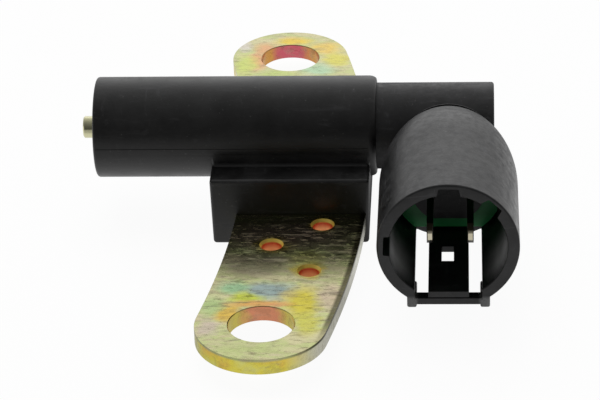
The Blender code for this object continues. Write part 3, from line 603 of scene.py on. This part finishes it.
def make_foot(side, window):
    inner = window - FOOT_LEDGE
    outer = inner + FOOT_WIDTH
    shoulder = window + FOOT_LEDGE
    top = -math.sqrt((SOCKET_RADIUS - SOCKET_WALL / 2) ** 2 - outer**2)
    ledge = -BRIDGE_TOP - BRIDGE_SETBACK
    outline = [
        (side * inner, -FOOT_DROP),
        (side * outer, -FOOT_DROP),
        (side * outer, top),
        (side * shoulder, top),
        (side * shoulder, ledge),
        (side * inner, ledge),
    ]
    foot = outlined("foot", [outline], SOCKET_REACH - FOOT_LENGTH, SOCKET_REACH - BRIDGE_SETBACK, "XY")
    foot.matrix_world = SOCKET_FRAME @ foot.matrix_world
    round_edges(foot, FOOT_ROUND, 3)
    return foot


def make_shell():
    """The round shell, whose shoulder closes like half an egg on the arm."""
    profile = [(0, SOCKET_REACH)]
    profile += quarter(SOCKET_RADIUS, SOCKET_REACH, SOCKET_ROUND, SOCKET_ROUND, 4)
    straight_end = SHOULDER_BACK + SHOULDER_LENGTH
    for i in range(SHOULDER_STEPS):
        angle = math.pi / 2 * i / SHOULDER_STEPS
        profile.append((SOCKET_RADIUS * math.cos(angle), straight_end - SHOULDER_LENGTH * math.sin(angle)))
    profile.append((0, SHOULDER_BACK))
    return turned("shell", profile, "-Y", (SOCKET_X, 0, AXIS_HEIGHT))


def cut_bore(body):
    floor = SOCKET_REACH - BORE_DEPTH
    core_face = SOCKET_REACH - CORE_DEPTH
    mouth = SOCKET_REACH + CUT_MARGIN
    profile = [(0, mouth), (BORE_RADIUS + RIM_CHAMFER + CUT_MARGIN, mouth)]
    profile += [(BORE_RADIUS, SOCKET_REACH - RIM_CHAMFER), (BORE_RADIUS, floor)]
    profile += [(CORE_RADIUS, floor), (CORE_RADIUS, core_face), (0, core_face)]
    combine(body, "DIFFERENCE", turned("bore", profile, "-Y", (SOCKET_X, 0, AXIS_HEIGHT)))
    chord = math.sqrt(CORE_RADIUS**2 - CORE_FLAT**2) + SEAM
    low = -(CORE_RADIUS + BORE_RADIUS) / 2
    flat = socket_box("flat", -chord, chord, low, -CORE_FLAT, CORE_DEPTH - CUT_MARGIN, BORE_DEPTH + SEAM)
    combine(body, "DIFFERENCE", flat)
    for keyway in KEYWAYS:
        combine(body, "DIFFERENCE", make_keyway(*keyway))


def make_witness_lip():
    """A thin raised line where two parts of the mould met, at the top of the shoulder."""
    profile = [
        (LIP_RADIUS, LIP_DEPTH + LIP_WIDTH),
        (LIP_RADIUS, LIP_DEPTH),
        (LIP_RADIUS - LIP_THICKNESS, LIP_DEPTH),
        (LIP_RADIUS - LIP_THICKNESS, LIP_DEPTH + LIP_WIDTH),
    ]
    return turned("lip", profile, "-Y", (SOCKET_X, 0, AXIS_HEIGHT), closed=True)


def make_connector():
    profile = [(0, ARM_END)] + quarter(ARM_RADIUS, ARM_END, ARM_ROUND, ARM_ROUND)
    profile += [(ARM_RADIUS, SPIGOT_X), (0, SPIGOT_X)]
    body = turned("connector_skin", profile, "X", (0, 0, AXIS_HEIGHT))
    combine(body, "UNION", make_shell())
    combine(body, "UNION", make_witness_lip())
    cut_bore(body)
    combine(body, "DIFFERENCE", make_window())
    combine(body, "UNION", make_foot(-1, WINDOW_LEFT))
    combine(body, "UNION", make_foot(1, WINDOW_RIGHT))
    bridge = socket_box(
        "bridge",
        -WINDOW_LEFT - FOOT_WIDTH / 2,
        WINDOW_RIGHT + FOOT_WIDTH / 2,
        -BRIDGE_TOP - BRIDGE_THICKNESS,
        -BRIDGE_TOP,
        2 * BRIDGE_SETBACK,
        BRIDGE_LENGTH,
    )
    round_edges(bridge, TONGUE_ROUND)
    combine(body, "UNION", bridge)
    combine(body, "UNION", make_tongue())
    return settle(body)


def make_seal():
    outer = flat_circle(SEAL_RADIUS, SEAL_FLAT, MEDIUM_STEPS)
    inner = flat_circle(CORE_RADIUS + SEAM, CORE_FLAT + SEAM, MEDIUM_STEPS)
    seal = outlined("seal_skin", [outer, inner], -SEAL_HIGH.y, -SEAL_LOW.y, "XY")
    seal.matrix_world = SOCKET_FRAME @ seal.matrix_world
    round_edges(seal, SEAL_ROUND, 4, 50)
    return settle(seal)


# Materials


class Nodes:
    """Adds nodes to a tree one by one."""

    def __init__(self, tree):
        self.tree = tree

    def node(self, kind, **values):
        made = self.tree.nodes.new(kind)
        for key, value in values.items():
            setattr(made, key, value)
        return made

    def link(self, source, target):
        self.tree.links.new(source, target)

    def set(self, sockets, values):
        """Gives each socket a number, a colour or a link."""
        for socket, value in zip(sockets, values):
            if isinstance(value, (int, float)):
                socket.default_value = value
            elif isinstance(value, tuple):
                socket.default_value = (*value, 1) if socket.type == "RGBA" else value
            else:
                self.link(value, socket)

    def ramp(self, source, stops):
        made = self.node("ShaderNodeValToRGB")
        elements = made.color_ramp.elements
        while len(elements) < len(stops):
            elements.new(0.5)
        for element, (position, colour) in zip(elements, stops):
            element.position = position
            element.color = (*colour, 1)
        self.link(source, made.inputs["Fac"])
        return made.outputs["Color"]

    def grey(self, source, low, high, low_value=0.0, high_value=1.0):
        """Maps a value's range to another, clamped."""
        made = self.node("ShaderNodeMapRange")
        names = ("Value", "From Min", "From Max", "To Min", "To Max")
        self.set([made.inputs[name] for name in names], (source, low, high, low_value, high_value))
        return made.outputs["Result"]

    def part(self, vector, axis):
        made = self.node("ShaderNodeSeparateXYZ")
        self.link(vector, made.inputs["Vector"])
        return made.outputs[axis]

    def vector(self, operation, *values):
        """A vector made by one operation; its length or dot product is the other output, Value."""
        made = self.node("ShaderNodeVectorMath", operation=operation)
        self.set(made.inputs, values)
        return made.outputs["Value" if operation in ("LENGTH", "DOT_PRODUCT") else "Vector"]

    def away_from(self, point, centre, keep):
        """How far a point is from a line through the centre; keep is 1 on the two axes across the line."""
        return self.vector("LENGTH", self.vector("MULTIPLY", self.vector("SUBTRACT", point, centre), keep))

    def math(self, operation, first, second):
        made = self.node("ShaderNodeMath", operation=operation)
        self.set(made.inputs, (first, second))
        return made.outputs["Value"]

    def product(self, *values):
        result = values[0]
        for value in values[1:]:
            result = self.math("MULTIPLY", result, value)
        return result

    def mix(self, factor, first, second):
        made = self.node("ShaderNodeMix", data_type="RGBA")
        self.set((made.inputs[0], made.inputs[6], made.inputs[7]), (factor, first, second))
        return made.outputs[2]

    def mix_shaders(self, factor, first, second):
        made = self.node("ShaderNodeMixShader")
        self.set(made.inputs, (factor, first, second))
        return made.outputs[0]


class Shader(Nodes):
    """A material with one surface, whose textures lie in the object's own place."""

    def __init__(self, name, base, roughness, metallic=0.0):
        self.material = bpy.data.materials.new(name)
        self.material.use_nodes = True
        super().__init__(self.material.node_tree)
        self.surface = self.tree.nodes["Principled BSDF"]
        self.surface.inputs["Base Color"].default_value = (*base, 1)
        self.surface.inputs["Roughness"].default_value = roughness
        self.surface.inputs["Metallic"].default_value = metallic
        self.place = self.node("ShaderNodeTexCoord").outputs["Object"]

    def along(self, axis):
        return self.part(self.place, axis)

    def stretched(self, scale, turn=0.0):
        mapping = self.node("ShaderNodeMapping")
        mapping.inputs["Scale"].default_value = scale
        mapping.inputs["Rotation"].default_value = (0, 0, math.radians(turn))
        self.link(self.place, mapping.inputs["Vector"])
        return mapping.outputs["Vector"]

    def noise(self, scale, detail=4.0, rough=0.55, stretch=None, distortion=0.0, turn=0.0, output="Fac"):
        made = self.node("ShaderNodeTexNoise")
        made.inputs["Scale"].default_value = scale
        made.inputs["Detail"].default_value = detail
        made.inputs["Roughness"].default_value = rough
        made.inputs["Distortion"].default_value = distortion
        self.link(self.stretched(stretch, turn) if stretch else self.place, made.inputs["Vector"])
        return made.outputs[output]

    def bump(self, *layers):
        """Adds bump layers of (height, strength, distance)."""
        normal = None
        for height, strength, distance in layers:
            made = self.node("ShaderNodeBump")
            made.inputs["Strength"].default_value = strength
            made.inputs["Distance"].default_value = distance
            self.link(height, made.inputs["Height"])
            if normal is not None:
                self.link(normal, made.inputs["Normal"])
            normal = made.outputs["Normal"]
        self.link(normal, self.surface.inputs["Normal"])


def display(red, green, blue):
    """A colour given as it shows on a screen, from 0 to 255, in linear light."""

    def linear(value):
        value /= 255
        return value / 12.92 if value <= 0.04045 else ((value + 0.055) / 1.055) ** 2.4

    return tuple(linear(value) for value in (red, green, blue))


def black_plastic(name, base, roughness, scuff, gloss):
    """Satin moulded polyamide: a fine grain, cloudy gloss, hairline scuffs and a little dust."""
    shader = Shader(name, base, roughness)
    shader.surface.inputs["Specular IOR Level"].default_value = gloss
    clouds = shader.noise(260, 5, 0.65)
    grain = shader.noise(2200, 4, 0.65)
    scuffs = shader.noise(800, 6, 0.7, (0.16, 1.0, 1.0), 0.8)
    cross = shader.noise(900, 5, 0.7, (1.0, 0.2, 0.5), 0.5)
    dust = shader.noise(2600, 1, 0.5)
    darker = tuple(channel * 0.6 for channel in base)
    lighter = tuple(channel * 1.8 for channel in base)
    colour = shader.mix(shader.grey(clouds, 0.35, 0.65), darker, lighter)
    worn_along = shader.grey(scuffs, 0.57, 0.68, 0, scuff)
    worn_across = shader.grey(cross, 0.60, 0.70, 0, scuff)
    worn = shader.math("MAXIMUM", worn_along, worn_across)
    colour = shader.mix(worn, colour, SCUFF_GREY)
    specks = shader.grey(dust, 0.73, 0.78, 0, 0.35)
    colour = shader.mix(specks, colour, DUST_GREY)
    return shader, colour, clouds, grain, scuffs, worn


def finish_plastic(shader, colour, clouds, grain, scuffs, worn, roughness, duller=0.0):
    shader.link(colour, shader.surface.inputs["Base Color"])
    rough = shader.grey(clouds, 0.3, 0.7, roughness - 0.05, roughness + 0.07)
    rough = shader.math("ADD", rough, shader.math("MULTIPLY", worn, 0.2))
    rough = shader.math("ADD", rough, duller)
    shader.link(rough, shader.surface.inputs["Roughness"])
    shader.bump((clouds, 0.25, 0.10 * MM), (grain, 0.45, 0.04 * MM), (scuffs, 0.15, 0.02 * MM))
    return shader.material


def moulding_look():
    shader, *parts = black_plastic("moulding_look", MOULDING_BLACK, MOULDING_ROUGHNESS, 0.5, 0.55)
    return finish_plastic(shader, *parts, MOULDING_ROUGHNESS)


def socket_look():
    """The connector's plastic, with a painted grey highlight on its feet and a painted highlight on the
    bore's walls near the mouth.
    """
    parts = black_plastic("socket_look", SOCKET_BLACK, SOCKET_ROUGHNESS, 0.9, 0.60)
    shader, colour, clouds, grain, scuffs, worn = parts
    across = shader.math("ABSOLUTE", shader.math("SUBTRACT", shader.along("X"), SOCKET_X), 0.0)
    height = shader.along("Z")
    depth = shader.math("SUBTRACT", shader.along("Y"), RIM_Y)
    bridge = AXIS_HEIGHT - BRIDGE_TOP
    # Painted highlight: the feet's ledges beside the window are painted grey
    foot = shader.product(
        shader.grey(height, bridge - FOOT_FADE_BELOW, bridge + FOOT_FADE_ABOVE, 1.0, 0.0),
        shader.grey(across, *[WINDOW_LEFT - inset for inset in FOOT_FADE_SIDE]),
        shader.grey(depth, FOOT_LENGTH, FOOT_LENGTH + MM, 1.0, 0.0),
        shader.grey(clouds, 0.35, 0.60, 0.35, 1.0),
    )
    colour = shader.mix(foot, colour, FOOT_PAINTED_HIGHLIGHT)
    # Painted highlight: the bore's side walls, below the middle and near the mouth, are painted pale
    radius = shader.away_from(shader.place, (SOCKET_X, 0, AXIS_HEIGHT), (1, 0, 1))
    bore_highlight = shader.product(
        shader.grey(radius, BORE_RADIUS + 0.02 * MM, BORE_RADIUS + 0.14 * MM, 1.0, 0.0),
        shader.grey(radius, BORE_RADIUS - 0.30 * MM, BORE_RADIUS - 0.15 * MM),
        shader.grey(depth, 0.5 * MM, 0.3 * BORE_HIGHLIGHT_DEPTH),
        shader.grey(depth, 0.6 * BORE_HIGHLIGHT_DEPTH, BORE_HIGHLIGHT_DEPTH, 1.0, 0.0),
        shader.grey(height, AXIS_HEIGHT - 6.0 * MM, AXIS_HEIGHT - 4.0 * MM),
        shader.grey(height, AXIS_HEIGHT - 1.8 * MM, AXIS_HEIGHT - 0.2 * MM, 1.0, 0.0),
    )
    colour = shader.mix(bore_highlight, colour, BORE_PAINTED_HIGHLIGHT)
    duller = shader.grey(depth, *SHOULDER_DEPTHS, 0.0, SHOULDER_DULLER)
    mottled = shader.noise(1000, 5, 0.7)
    duller = shader.math("ADD", duller, shader.grey(mottled, 0.40, 0.60, -0.05, 0.06))
    return finish_plastic(shader, colour, clouds, grain, scuffs, worn, SOCKET_ROUGHNESS, duller)


def film_patch(shader, point, centre, reach):
    """A soft oval mask on the plate: one at its centre, nothing beyond its reach."""
    offset = shader.vector("SUBTRACT", point, (centre[0] * MM, centre[1] * MM, 0))
    scaled = shader.vector("MULTIPLY", offset, (1 / (reach[0] * MM), 1 / (reach[1] * MM), 0))
    return shader.grey(shader.vector("LENGTH", scaled), 0.45, 1.15, 1.0, 0.0)


def film(red, green, blue):
    """A film's colour as it shows under the studio's bright side, taken back to the bare surface."""
    return tuple(channel * FILM_LEVEL for channel in display(red, green, blue))


def smeared_place(shader):
    """The plate's own place, drawn out in streaks across it so that the film's edges smear."""
    streaks = shader.noise(420, 6, 0.68, (0.7, 1.3, 1.0), output="Color")
    drift = shader.vector("MULTIPLY_ADD", streaks, FILM_DRIFT, shader.place)
    return shader.vector("SUBTRACT", drift, tuple(reach / 2 for reach in FILM_DRIFT))


def zinc_plate():
    """Yellow passivated zinc: interference colours in patches round the holes, brushed and scratched."""
    shader = Shader("zinc_plate_look", (0.6, 0.55, 0.35), 0.3, 1.0)
    point = smeared_place(shader)
    clouds = shader.noise(260, 5, 0.65, (0.6, 1.5, 1.0))
    colour = shader.ramp(
        clouds,
        [(0.36, film(206, 198, 158)), (0.47, film(198, 206, 142)), (0.56, film(212, 206, 160))],
    )
    for centre, reach, strength, tint in PLATE_FILM:
        mask = shader.math("MULTIPLY", film_patch(shader, point, centre, reach), strength)
        colour = shader.mix(mask, colour, film(*tint))

    # Walls of the bolt holes
    for side, middle_tint, side_tint in HOLE_FILM:
        centre = (HOLE_MIDDLE[0], HOLE_MIDDLE[1] + side * HOLE_HALF, 0)
        away = shader.away_from(shader.place, centre, (1, 1, 0))
        wall = shader.grey(away, HOLE_RADIUS + 0.02 * MM, HOLE_RADIUS + 0.07 * MM, 1.0, 0.0)
        back = (centre[0], centre[1] + HOLE_RADIUS, 0)
        across = shader.away_from(point, back, (1, 1, 0))
        spread = shader.grey(across, *HOLE_FILM_SPREAD)
        tints = shader.mix(spread, display(*middle_tint), display(*side_tint))
        colour = shader.mix(wall, colour, tints)

    # Film round the small holes
    for place_x, place_y in PUNCH_PLACES:
        away = shader.away_from(point, (place_x, place_y, 0), (1, 1, 0))
        ring = shader.grey(away, PUNCH_MOUTH, PUNCH_MOUTH + 0.9 * MM, 0.8, 0.0)
        colour = shader.mix(ring, colour, film(206, 186, 70))

    # The sheared edge, yellower than the faces, and on the right side painted near white as a painted
    # reflection of the open floor
    height = shader.along("Z")
    edge = shader.grey(height, PLATE_HIGH.z - PLATE_EDGE_TOP, PLATE_HIGH.z - PLATE_EDGE_TOP * 0.4, 1.0, 0.0)
    side_clouds = shader.ramp(
        shader.noise(200, 3),
        [(0.40, display(232, 228, 130)), (0.50, display(240, 226, 92)), (0.62, display(244, 208, 96))],
    )
    rims = shader.away_from(shader.place, (HOLE_MIDDLE[0], HOLE_MIDDLE[1] - HOLE_HALF, 0), (1, 1, 0))
    back_rims = shader.away_from(shader.place, (HOLE_MIDDLE[0], HOLE_MIDDLE[1] + HOLE_HALF, 0), (1, 1, 0))
    nearest = shader.math("MINIMUM", rims, back_rims)
    outside = shader.grey(nearest, HOLE_RADIUS + 0.5 * MM, HOLE_RADIUS + 1.0 * MM)
    # Painted reflection: the edge on the right side is painted near white
    right = shader.grey(shader.along("X"), 1.0 * MM, 5.0 * MM)
    side_clouds = shader.mix(right, side_clouds, film(250, 248, 226))
    colour = shader.mix(shader.math("MULTIPLY", edge, outside), colour, side_clouds)

    # The rounded right edge, which mirrors the black connector
    rounded = shader.product(
        shader.grey(height, PLATE_HIGH.z - PLATE_EDGE_TOP, PLATE_HIGH.z - PLATE_EDGE_TOP * 0.6),
        shader.grey(height, PLATE_HIGH.z - PLATE_EDGE_TOP * 0.15, PLATE_HIGH.z, 1.0, 0.0),
        shader.math("MULTIPLY", right, outside),
    )
    colour = shader.mix(rounded, colour, film(56, 54, 36))
    # A painted dark reflection in a line just in from the right edge, on its front part
    from_bulge = shader.away_from(shader.place, (*BULGE_CENTRE, 0), (1, 1, 0))
    edge_reflection = shader.product(
        shader.grey(from_bulge, BULGE_RADIUS - EDGE_REFLECTION_START, BULGE_RADIUS - EDGE_REFLECTION_END),
        shader.grey(shader.along("Y"), PLATE_LOW.y + 3 * MM, PLATE_LOW.y + 9 * MM),
        shader.grey(shader.along("Y"), -4 * MM, 0, EDGE_REFLECTION_STRENGTH, 0.0),
        shader.grey(height, PLATE_HIGH.z - PLATE_EDGE_TOP, PLATE_HIGH.z - PLATE_EDGE_TOP * 0.6),
    )
    colour = shader.mix(edge_reflection, colour, film(84, 80, 50))

    # Scratches, worn flecks and dust
    level = shader.noise(420, 5, 0.66, (0.40, 2.0, 1.0), 0.6)
    rising = shader.noise(420, 5, 0.66, (0.35, 2.2, 1.0), 0.5, 34)
    falling = shader.noise(420, 5, 0.66, (0.35, 2.2, 1.0), 0.5, -38)
    scratch = shader.math("MAXIMUM", shader.grey(level, 0.59, 0.68), shader.grey(rising, 0.59, 0.68))
    scratch = shader.math("MAXIMUM", scratch, shader.grey(falling, 0.59, 0.68))
    flecks = shader.noise(900, 6, 0.75, (0.6, 1.4, 1.0))
    fleck = shader.grey(flecks, 0.50, 0.62)
    fine = shader.noise(1300, 4, 0.7, (0.5, 1.6, 1.0), 0.4, 18)
    fine_fleck = shader.grey(fine, 0.56, 0.66)
    colour = shader.mix(shader.math("MULTIPLY", scratch, 0.22), colour, film(226, 222, 196))
    colour = shader.mix(shader.math("MULTIPLY", fleck, 0.26), colour, film(150, 132, 106))
    shader.link(colour, shader.surface.inputs["Base Color"])
    marked = shader.math("MAXIMUM", scratch, fine_fleck)
    flecked = shader.grey(flecks, 0.38, 0.66, 0.13, 0.27)
    rough = shader.math("ADD", flecked, shader.math("MULTIPLY", marked, 0.25))
    shader.link(rough, shader.surface.inputs["Roughness"])
    shader.bump((level, 0.05, 0.02 * MM), (flecks, 0.07, 0.03 * MM))
    return shader.material


def punched_zinc():
    """The thick film in the small holes: yellow on the bevels, made bright there partly as a painted
    highlight; red on the walls, painted paler salmon low down for the light that comes up through the hole.
    """
    shader = Shader("punched_zinc_look", (0.80, 0.36, 0.16), 0.35, 0.6)
    height = shader.along("Z")
    top = PLATE_HIGH.z - PUNCH_SINK
    bevel = shader.grey(height, top - 0.08 * MM, top + 0.08 * MM)
    # Painted light: the walls are paler salmon low down, where light comes up through the hole
    painted_lit_wall = shader.grey(height, top - 0.9 * MM, top - 0.2 * MM, 1.0, 0.0)
    clouds = shader.noise(900, 3)
    wall = shader.mix(painted_lit_wall, display(206, 84, 52), display(255, 172, 112))
    wall = shader.mix(shader.grey(clouds, 0.45, 0.65, 0, 0.4), wall, display(250, 146, 84))
    ring = shader.mix(clouds, (1.0, 0.86, 0.12), (1.0, 0.66, 0.20))
    shader.link(shader.mix(bevel, wall, ring), shader.surface.inputs["Base Color"])
    shader.bump((shader.noise(3000, 2), 0.2, 0.02 * MM))
    return shader.material


def seal_look():
    """Green silicone, painted brighter where its lobes come down to the window, for the light that comes in
    through it.
    """
    shader = Shader("seal_look", (0.02, 0.28, 0.08), 0.35)
    clouds = shader.noise(600, 3)
    dull = shader.mix(clouds, (0.014, 0.20, 0.05), (0.025, 0.30, 0.08))
    bright = shader.mix(clouds, (0.04, 0.62, 0.16), (0.10, 0.72, 0.24))
    # Painted light: the lobes' lower parts, lit through the window below, take the bright green
    low = shader.grey(shader.along("Z"), AXIS_HEIGHT - 6.2 * MM, AXIS_HEIGHT - 3.6 * MM, 1.0, 0.0)
    shader.link(shader.mix(low, dull, bright), shader.surface.inputs["Base Color"])
    shader.bump((shader.noise(4000, 2), 0.15, 0.02 * MM))
    return shader.material


def blade_look():
    """Painted brown for the socket's shade, bright tin only at the tips' front faces."""
    shader = Shader("blade_look", (0.8, 0.76, 0.62), 0.3, 1.0)
    depth = shader.math("SUBTRACT", shader.along("Y"), BLADE_TIP_Y)
    # Painted shade: all but the tips' first 0.3 mm take the shade brown
    tip = shader.grey(depth, 0.10 * MM, 0.30 * MM, 1.0, 0.0)
    marks = shader.noise(1500, 4, 0.6, (1.0, 0.1, 1.0))
    bright = shader.mix(marks, (0.95, 0.90, 0.70), (0.70, 0.62, 0.44))
    shader.link(shader.mix(tip, BLADE_SHADE_BROWN, bright), shader.surface.inputs["Base Color"])
    shader.bump((marks, 0.2, 0.02 * MM))
    return shader.material


def plain_metal(name, base, roughness, stretch):
    shader = Shader(name, base, roughness, 1.0)
    marks = shader.noise(1500, 4, 0.6, stretch)
    darker = tuple(channel * 0.75 for channel in base)
    shader.link(shader.mix(marks, darker, base), shader.surface.inputs["Base Color"])
    rough = shader.grey(marks, 0.3, 0.7, roughness - 0.08, roughness + 0.1)
    shader.link(rough, shader.surface.inputs["Roughness"])
    shader.bump((marks, 0.2, 0.02 * MM))
    return shader.material


def soft_plastic(name, base, roughness, metallic=0.0):
    shader = Shader(name, base, roughness, metallic)
    clouds = shader.noise(600, 3)
    darker = tuple(channel * 0.8 for channel in base)
    shader.link(shader.mix(clouds, darker, base), shader.surface.inputs["Base Color"])
    shader.bump((shader.noise(4000, 2), 0.15, 0.02 * MM))
    return shader.material


def wound_copper():
    shader = Shader("winding_look", (0.55, 0.20, 0.07), 0.3, 0.9)
    wave = shader.node("ShaderNodeTexWave", bands_direction="X")
    wave.inputs["Scale"].default_value = 1600
    shader.link(shader.place, wave.inputs["Vector"])
    shader.bump((wave.outputs["Fac"], 0.6, 0.05 * MM))
    return shader.material


# Stage


def make_camera():
    data = bpy.data.cameras.new("camera")
    data.sensor_width = SENSOR_WIDTH
    data.lens = CAMERA_FOCAL / IMAGE_WIDTH * SENSOR_WIDTH
    data.clip_start = 0.01
    data.clip_end = 10
    camera = bpy.data.objects.new("camera", data)
    bpy.context.scene.collection.objects.link(camera)
    back = -Vector(CAMERA_FORWARD).normalized()
    up = Vector(CAMERA_UP).normalized()
    right = up.cross(back)
    turn = Matrix((right, up, back)).transposed().to_4x4()
    camera.matrix_world = Matrix.Translation(CAMERA_PLACE) @ turn
    bpy.context.scene.camera = camera


def make_floor():
    """Pale and matt, so that it keeps shadows, with a glow that shows where the camera or gloss looks."""
    mesh = bpy.data.meshes.new("floor")
    work = bmesh.new()
    bmesh.ops.create_grid(work, x_segments=1, y_segments=1, size=FLOOR_SIZE)
    work.to_mesh(mesh)
    work.free()
    floor = bpy.data.objects.new("floor", mesh)
    bpy.context.scene.collection.objects.link(floor)
    material = bpy.data.materials.new("floor_look")
    material.use_nodes = True
    material.node_tree.nodes.clear()
    nodes = Nodes(material.node_tree)
    path = nodes.node("ShaderNodeLightPath").outputs
    point = nodes.node("ShaderNodeNewGeometry").outputs["Position"]
    # Where gloss looks, the glow carries painted shade: a dip in front of the object and a painted shadow
    # between block and socket
    depth = nodes.grey(nodes.part(point, "Y"), FLOOR_MIRRORED_FRONT, FLOOR_MIRRORED_BACK)
    level = nodes.ramp(depth, [(position, (value,) * 3) for position, value in FLOOR_MIRRORED])
    offset = nodes.vector("SUBTRACT", point, (*FLOOR_DIM_CENTRE, 0))
    distance = nodes.vector("LENGTH", nodes.vector("DIVIDE", offset, (*FLOOR_DIM_REACH, 1)))
    scaled = nodes.node("ShaderNodeVectorMath", operation="SCALE")
    nodes.link(level, scaled.inputs[0])
    nodes.link(nodes.grey(distance, *FLOOR_DIM_EDGE, 1 - FLOOR_DIM, 1.0), scaled.inputs["Scale"])
    seen = path["Is Camera Ray"]
    shade = nodes.mix(seen, scaled.outputs["Vector"], (1, 1, 1))
    share = nodes.math("MULTIPLY", nodes.math("MAXIMUM", seen, path["Is Glossy Ray"]), FLOOR_GLOW)
    matt = nodes.node("ShaderNodeBsdfDiffuse")
    matt.inputs["Color"].default_value = (*FLOOR_WHITE, 1)
    glow = nodes.node("ShaderNodeEmission")
    nodes.link(shade, glow.inputs["Color"])
    out = nodes.node("ShaderNodeOutputMaterial")
    nodes.link(nodes.mix_shaders(share, matt.outputs[0], glow.outputs[0]), out.inputs["Surface"])
    mesh.materials.append(material)


def make_world():
    """White where the camera looks; as light, brightest low behind the object and dim in front."""
    world = bpy.data.worlds.new("studio")
    bpy.context.scene.world = world
    world.use_nodes = True
    nodes = Nodes(world.node_tree)
    toward = nodes.node("ShaderNodeTexCoord").outputs["Generated"]
    cosine = nodes.vector("DOT_PRODUCT", toward, tuple(Vector(WORLD_BRIGHT_SIDE).normalized()))
    stops = [((place + 1) / 2, (level,) * 3) for place, level in WORLD_LIGHT]
    light = nodes.tree.nodes["Background"]
    light.inputs["Strength"].default_value = WORLD_STRENGTH
    nodes.link(nodes.ramp(nodes.grey(cosine, -1, 1), stops), light.inputs["Color"])
    white = nodes.node("ShaderNodeBackground")
    white.inputs["Color"].default_value = (1, 1, 1, 1)
    seen = nodes.node("ShaderNodeLightPath").outputs["Is Camera Ray"]
    surface = nodes.mix_shaders(seen, light.outputs[0], white.outputs[0])
    nodes.link(surface, nodes.tree.nodes["World Output"].inputs["Surface"])


def area_light(name, place, target, size, power):
    data = bpy.data.lights.new(name, "AREA")
    data.size = size
    data.energy = power
    light = bpy.data.objects.new(name, data)
    light.location = place
    light.rotation_mode = "QUATERNION"
    light.rotation_quaternion = (Vector(target) - Vector(place)).to_track_quat("-Z", "Y")
    light.visible_glossy = False
    bpy.context.scene.collection.objects.link(light)


make_camera()
make_floor()
make_world()
area_light("overhead", LAMP_PLACE, (0, 0, 0), LAMP_SIZE, LAMP_POWER)


# The object


def dress(piece, node, slot, *materials):
    for material in materials:
        piece.data.materials.append(material)
    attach(piece, "root")
    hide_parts(node)


moulding = moulding_look()
socket_moulding = socket_look()
iron = plain_metal("iron_look", (0.74, 0.72, 0.46), 0.20, (1.0, 1.0, 1.0))
rubber = seal_look()

dress(make_overmould(), "sensor_overmould", "black_moulding", moulding)
dress(make_connector(), "connector_body", "socket_moulding", socket_moulding)
dress(make_pin(), "pole_pin", "bare_iron", iron)
dress(make_seal(), "seal_ring", "green_rubber", rubber)

plate = make_plate()
dress(plate, "mounting_plate", "zinc_plate", zinc_plate(), punched_zinc())
for polygon in plate.data.polygons:
    for x, y in PUNCH_PLACES:
        away = math.hypot(polygon.center.x - x, polygon.center.y - y)
        if away < PUNCH_MOUTH + SEAM and polygon.area < (PUNCH_RADIUS**2):
            polygon.material_index = 1

blades = blade_look()
NODE_LOOKS = {
    "terminal_left": blades,
    "terminal_right": blades,
    "magnet": soft_plastic("magnet_look", (0.10, 0.10, 0.11), 0.45, 0.3),
    "yoke_disc": iron,
    "coil_bobbin": soft_plastic("bobbin_look", (0.72, 0.66, 0.52), 0.5),
    "coil_winding": wound_copper(),
    "coil_tape": soft_plastic("tape_look", (0.65, 0.38, 0.06), 0.3),
    "coil_lead_left": wound_copper(),
    "coil_lead_right": wound_copper(),
}
for node, look in NODE_LOOKS.items():
    frame["nodes"][node].data.materials.clear()
    frame["nodes"][node].data.materials.append(look)

bpy.data.collections.remove(scratch)
bpy.context.scene.view_settings.view_transform = "Standard"
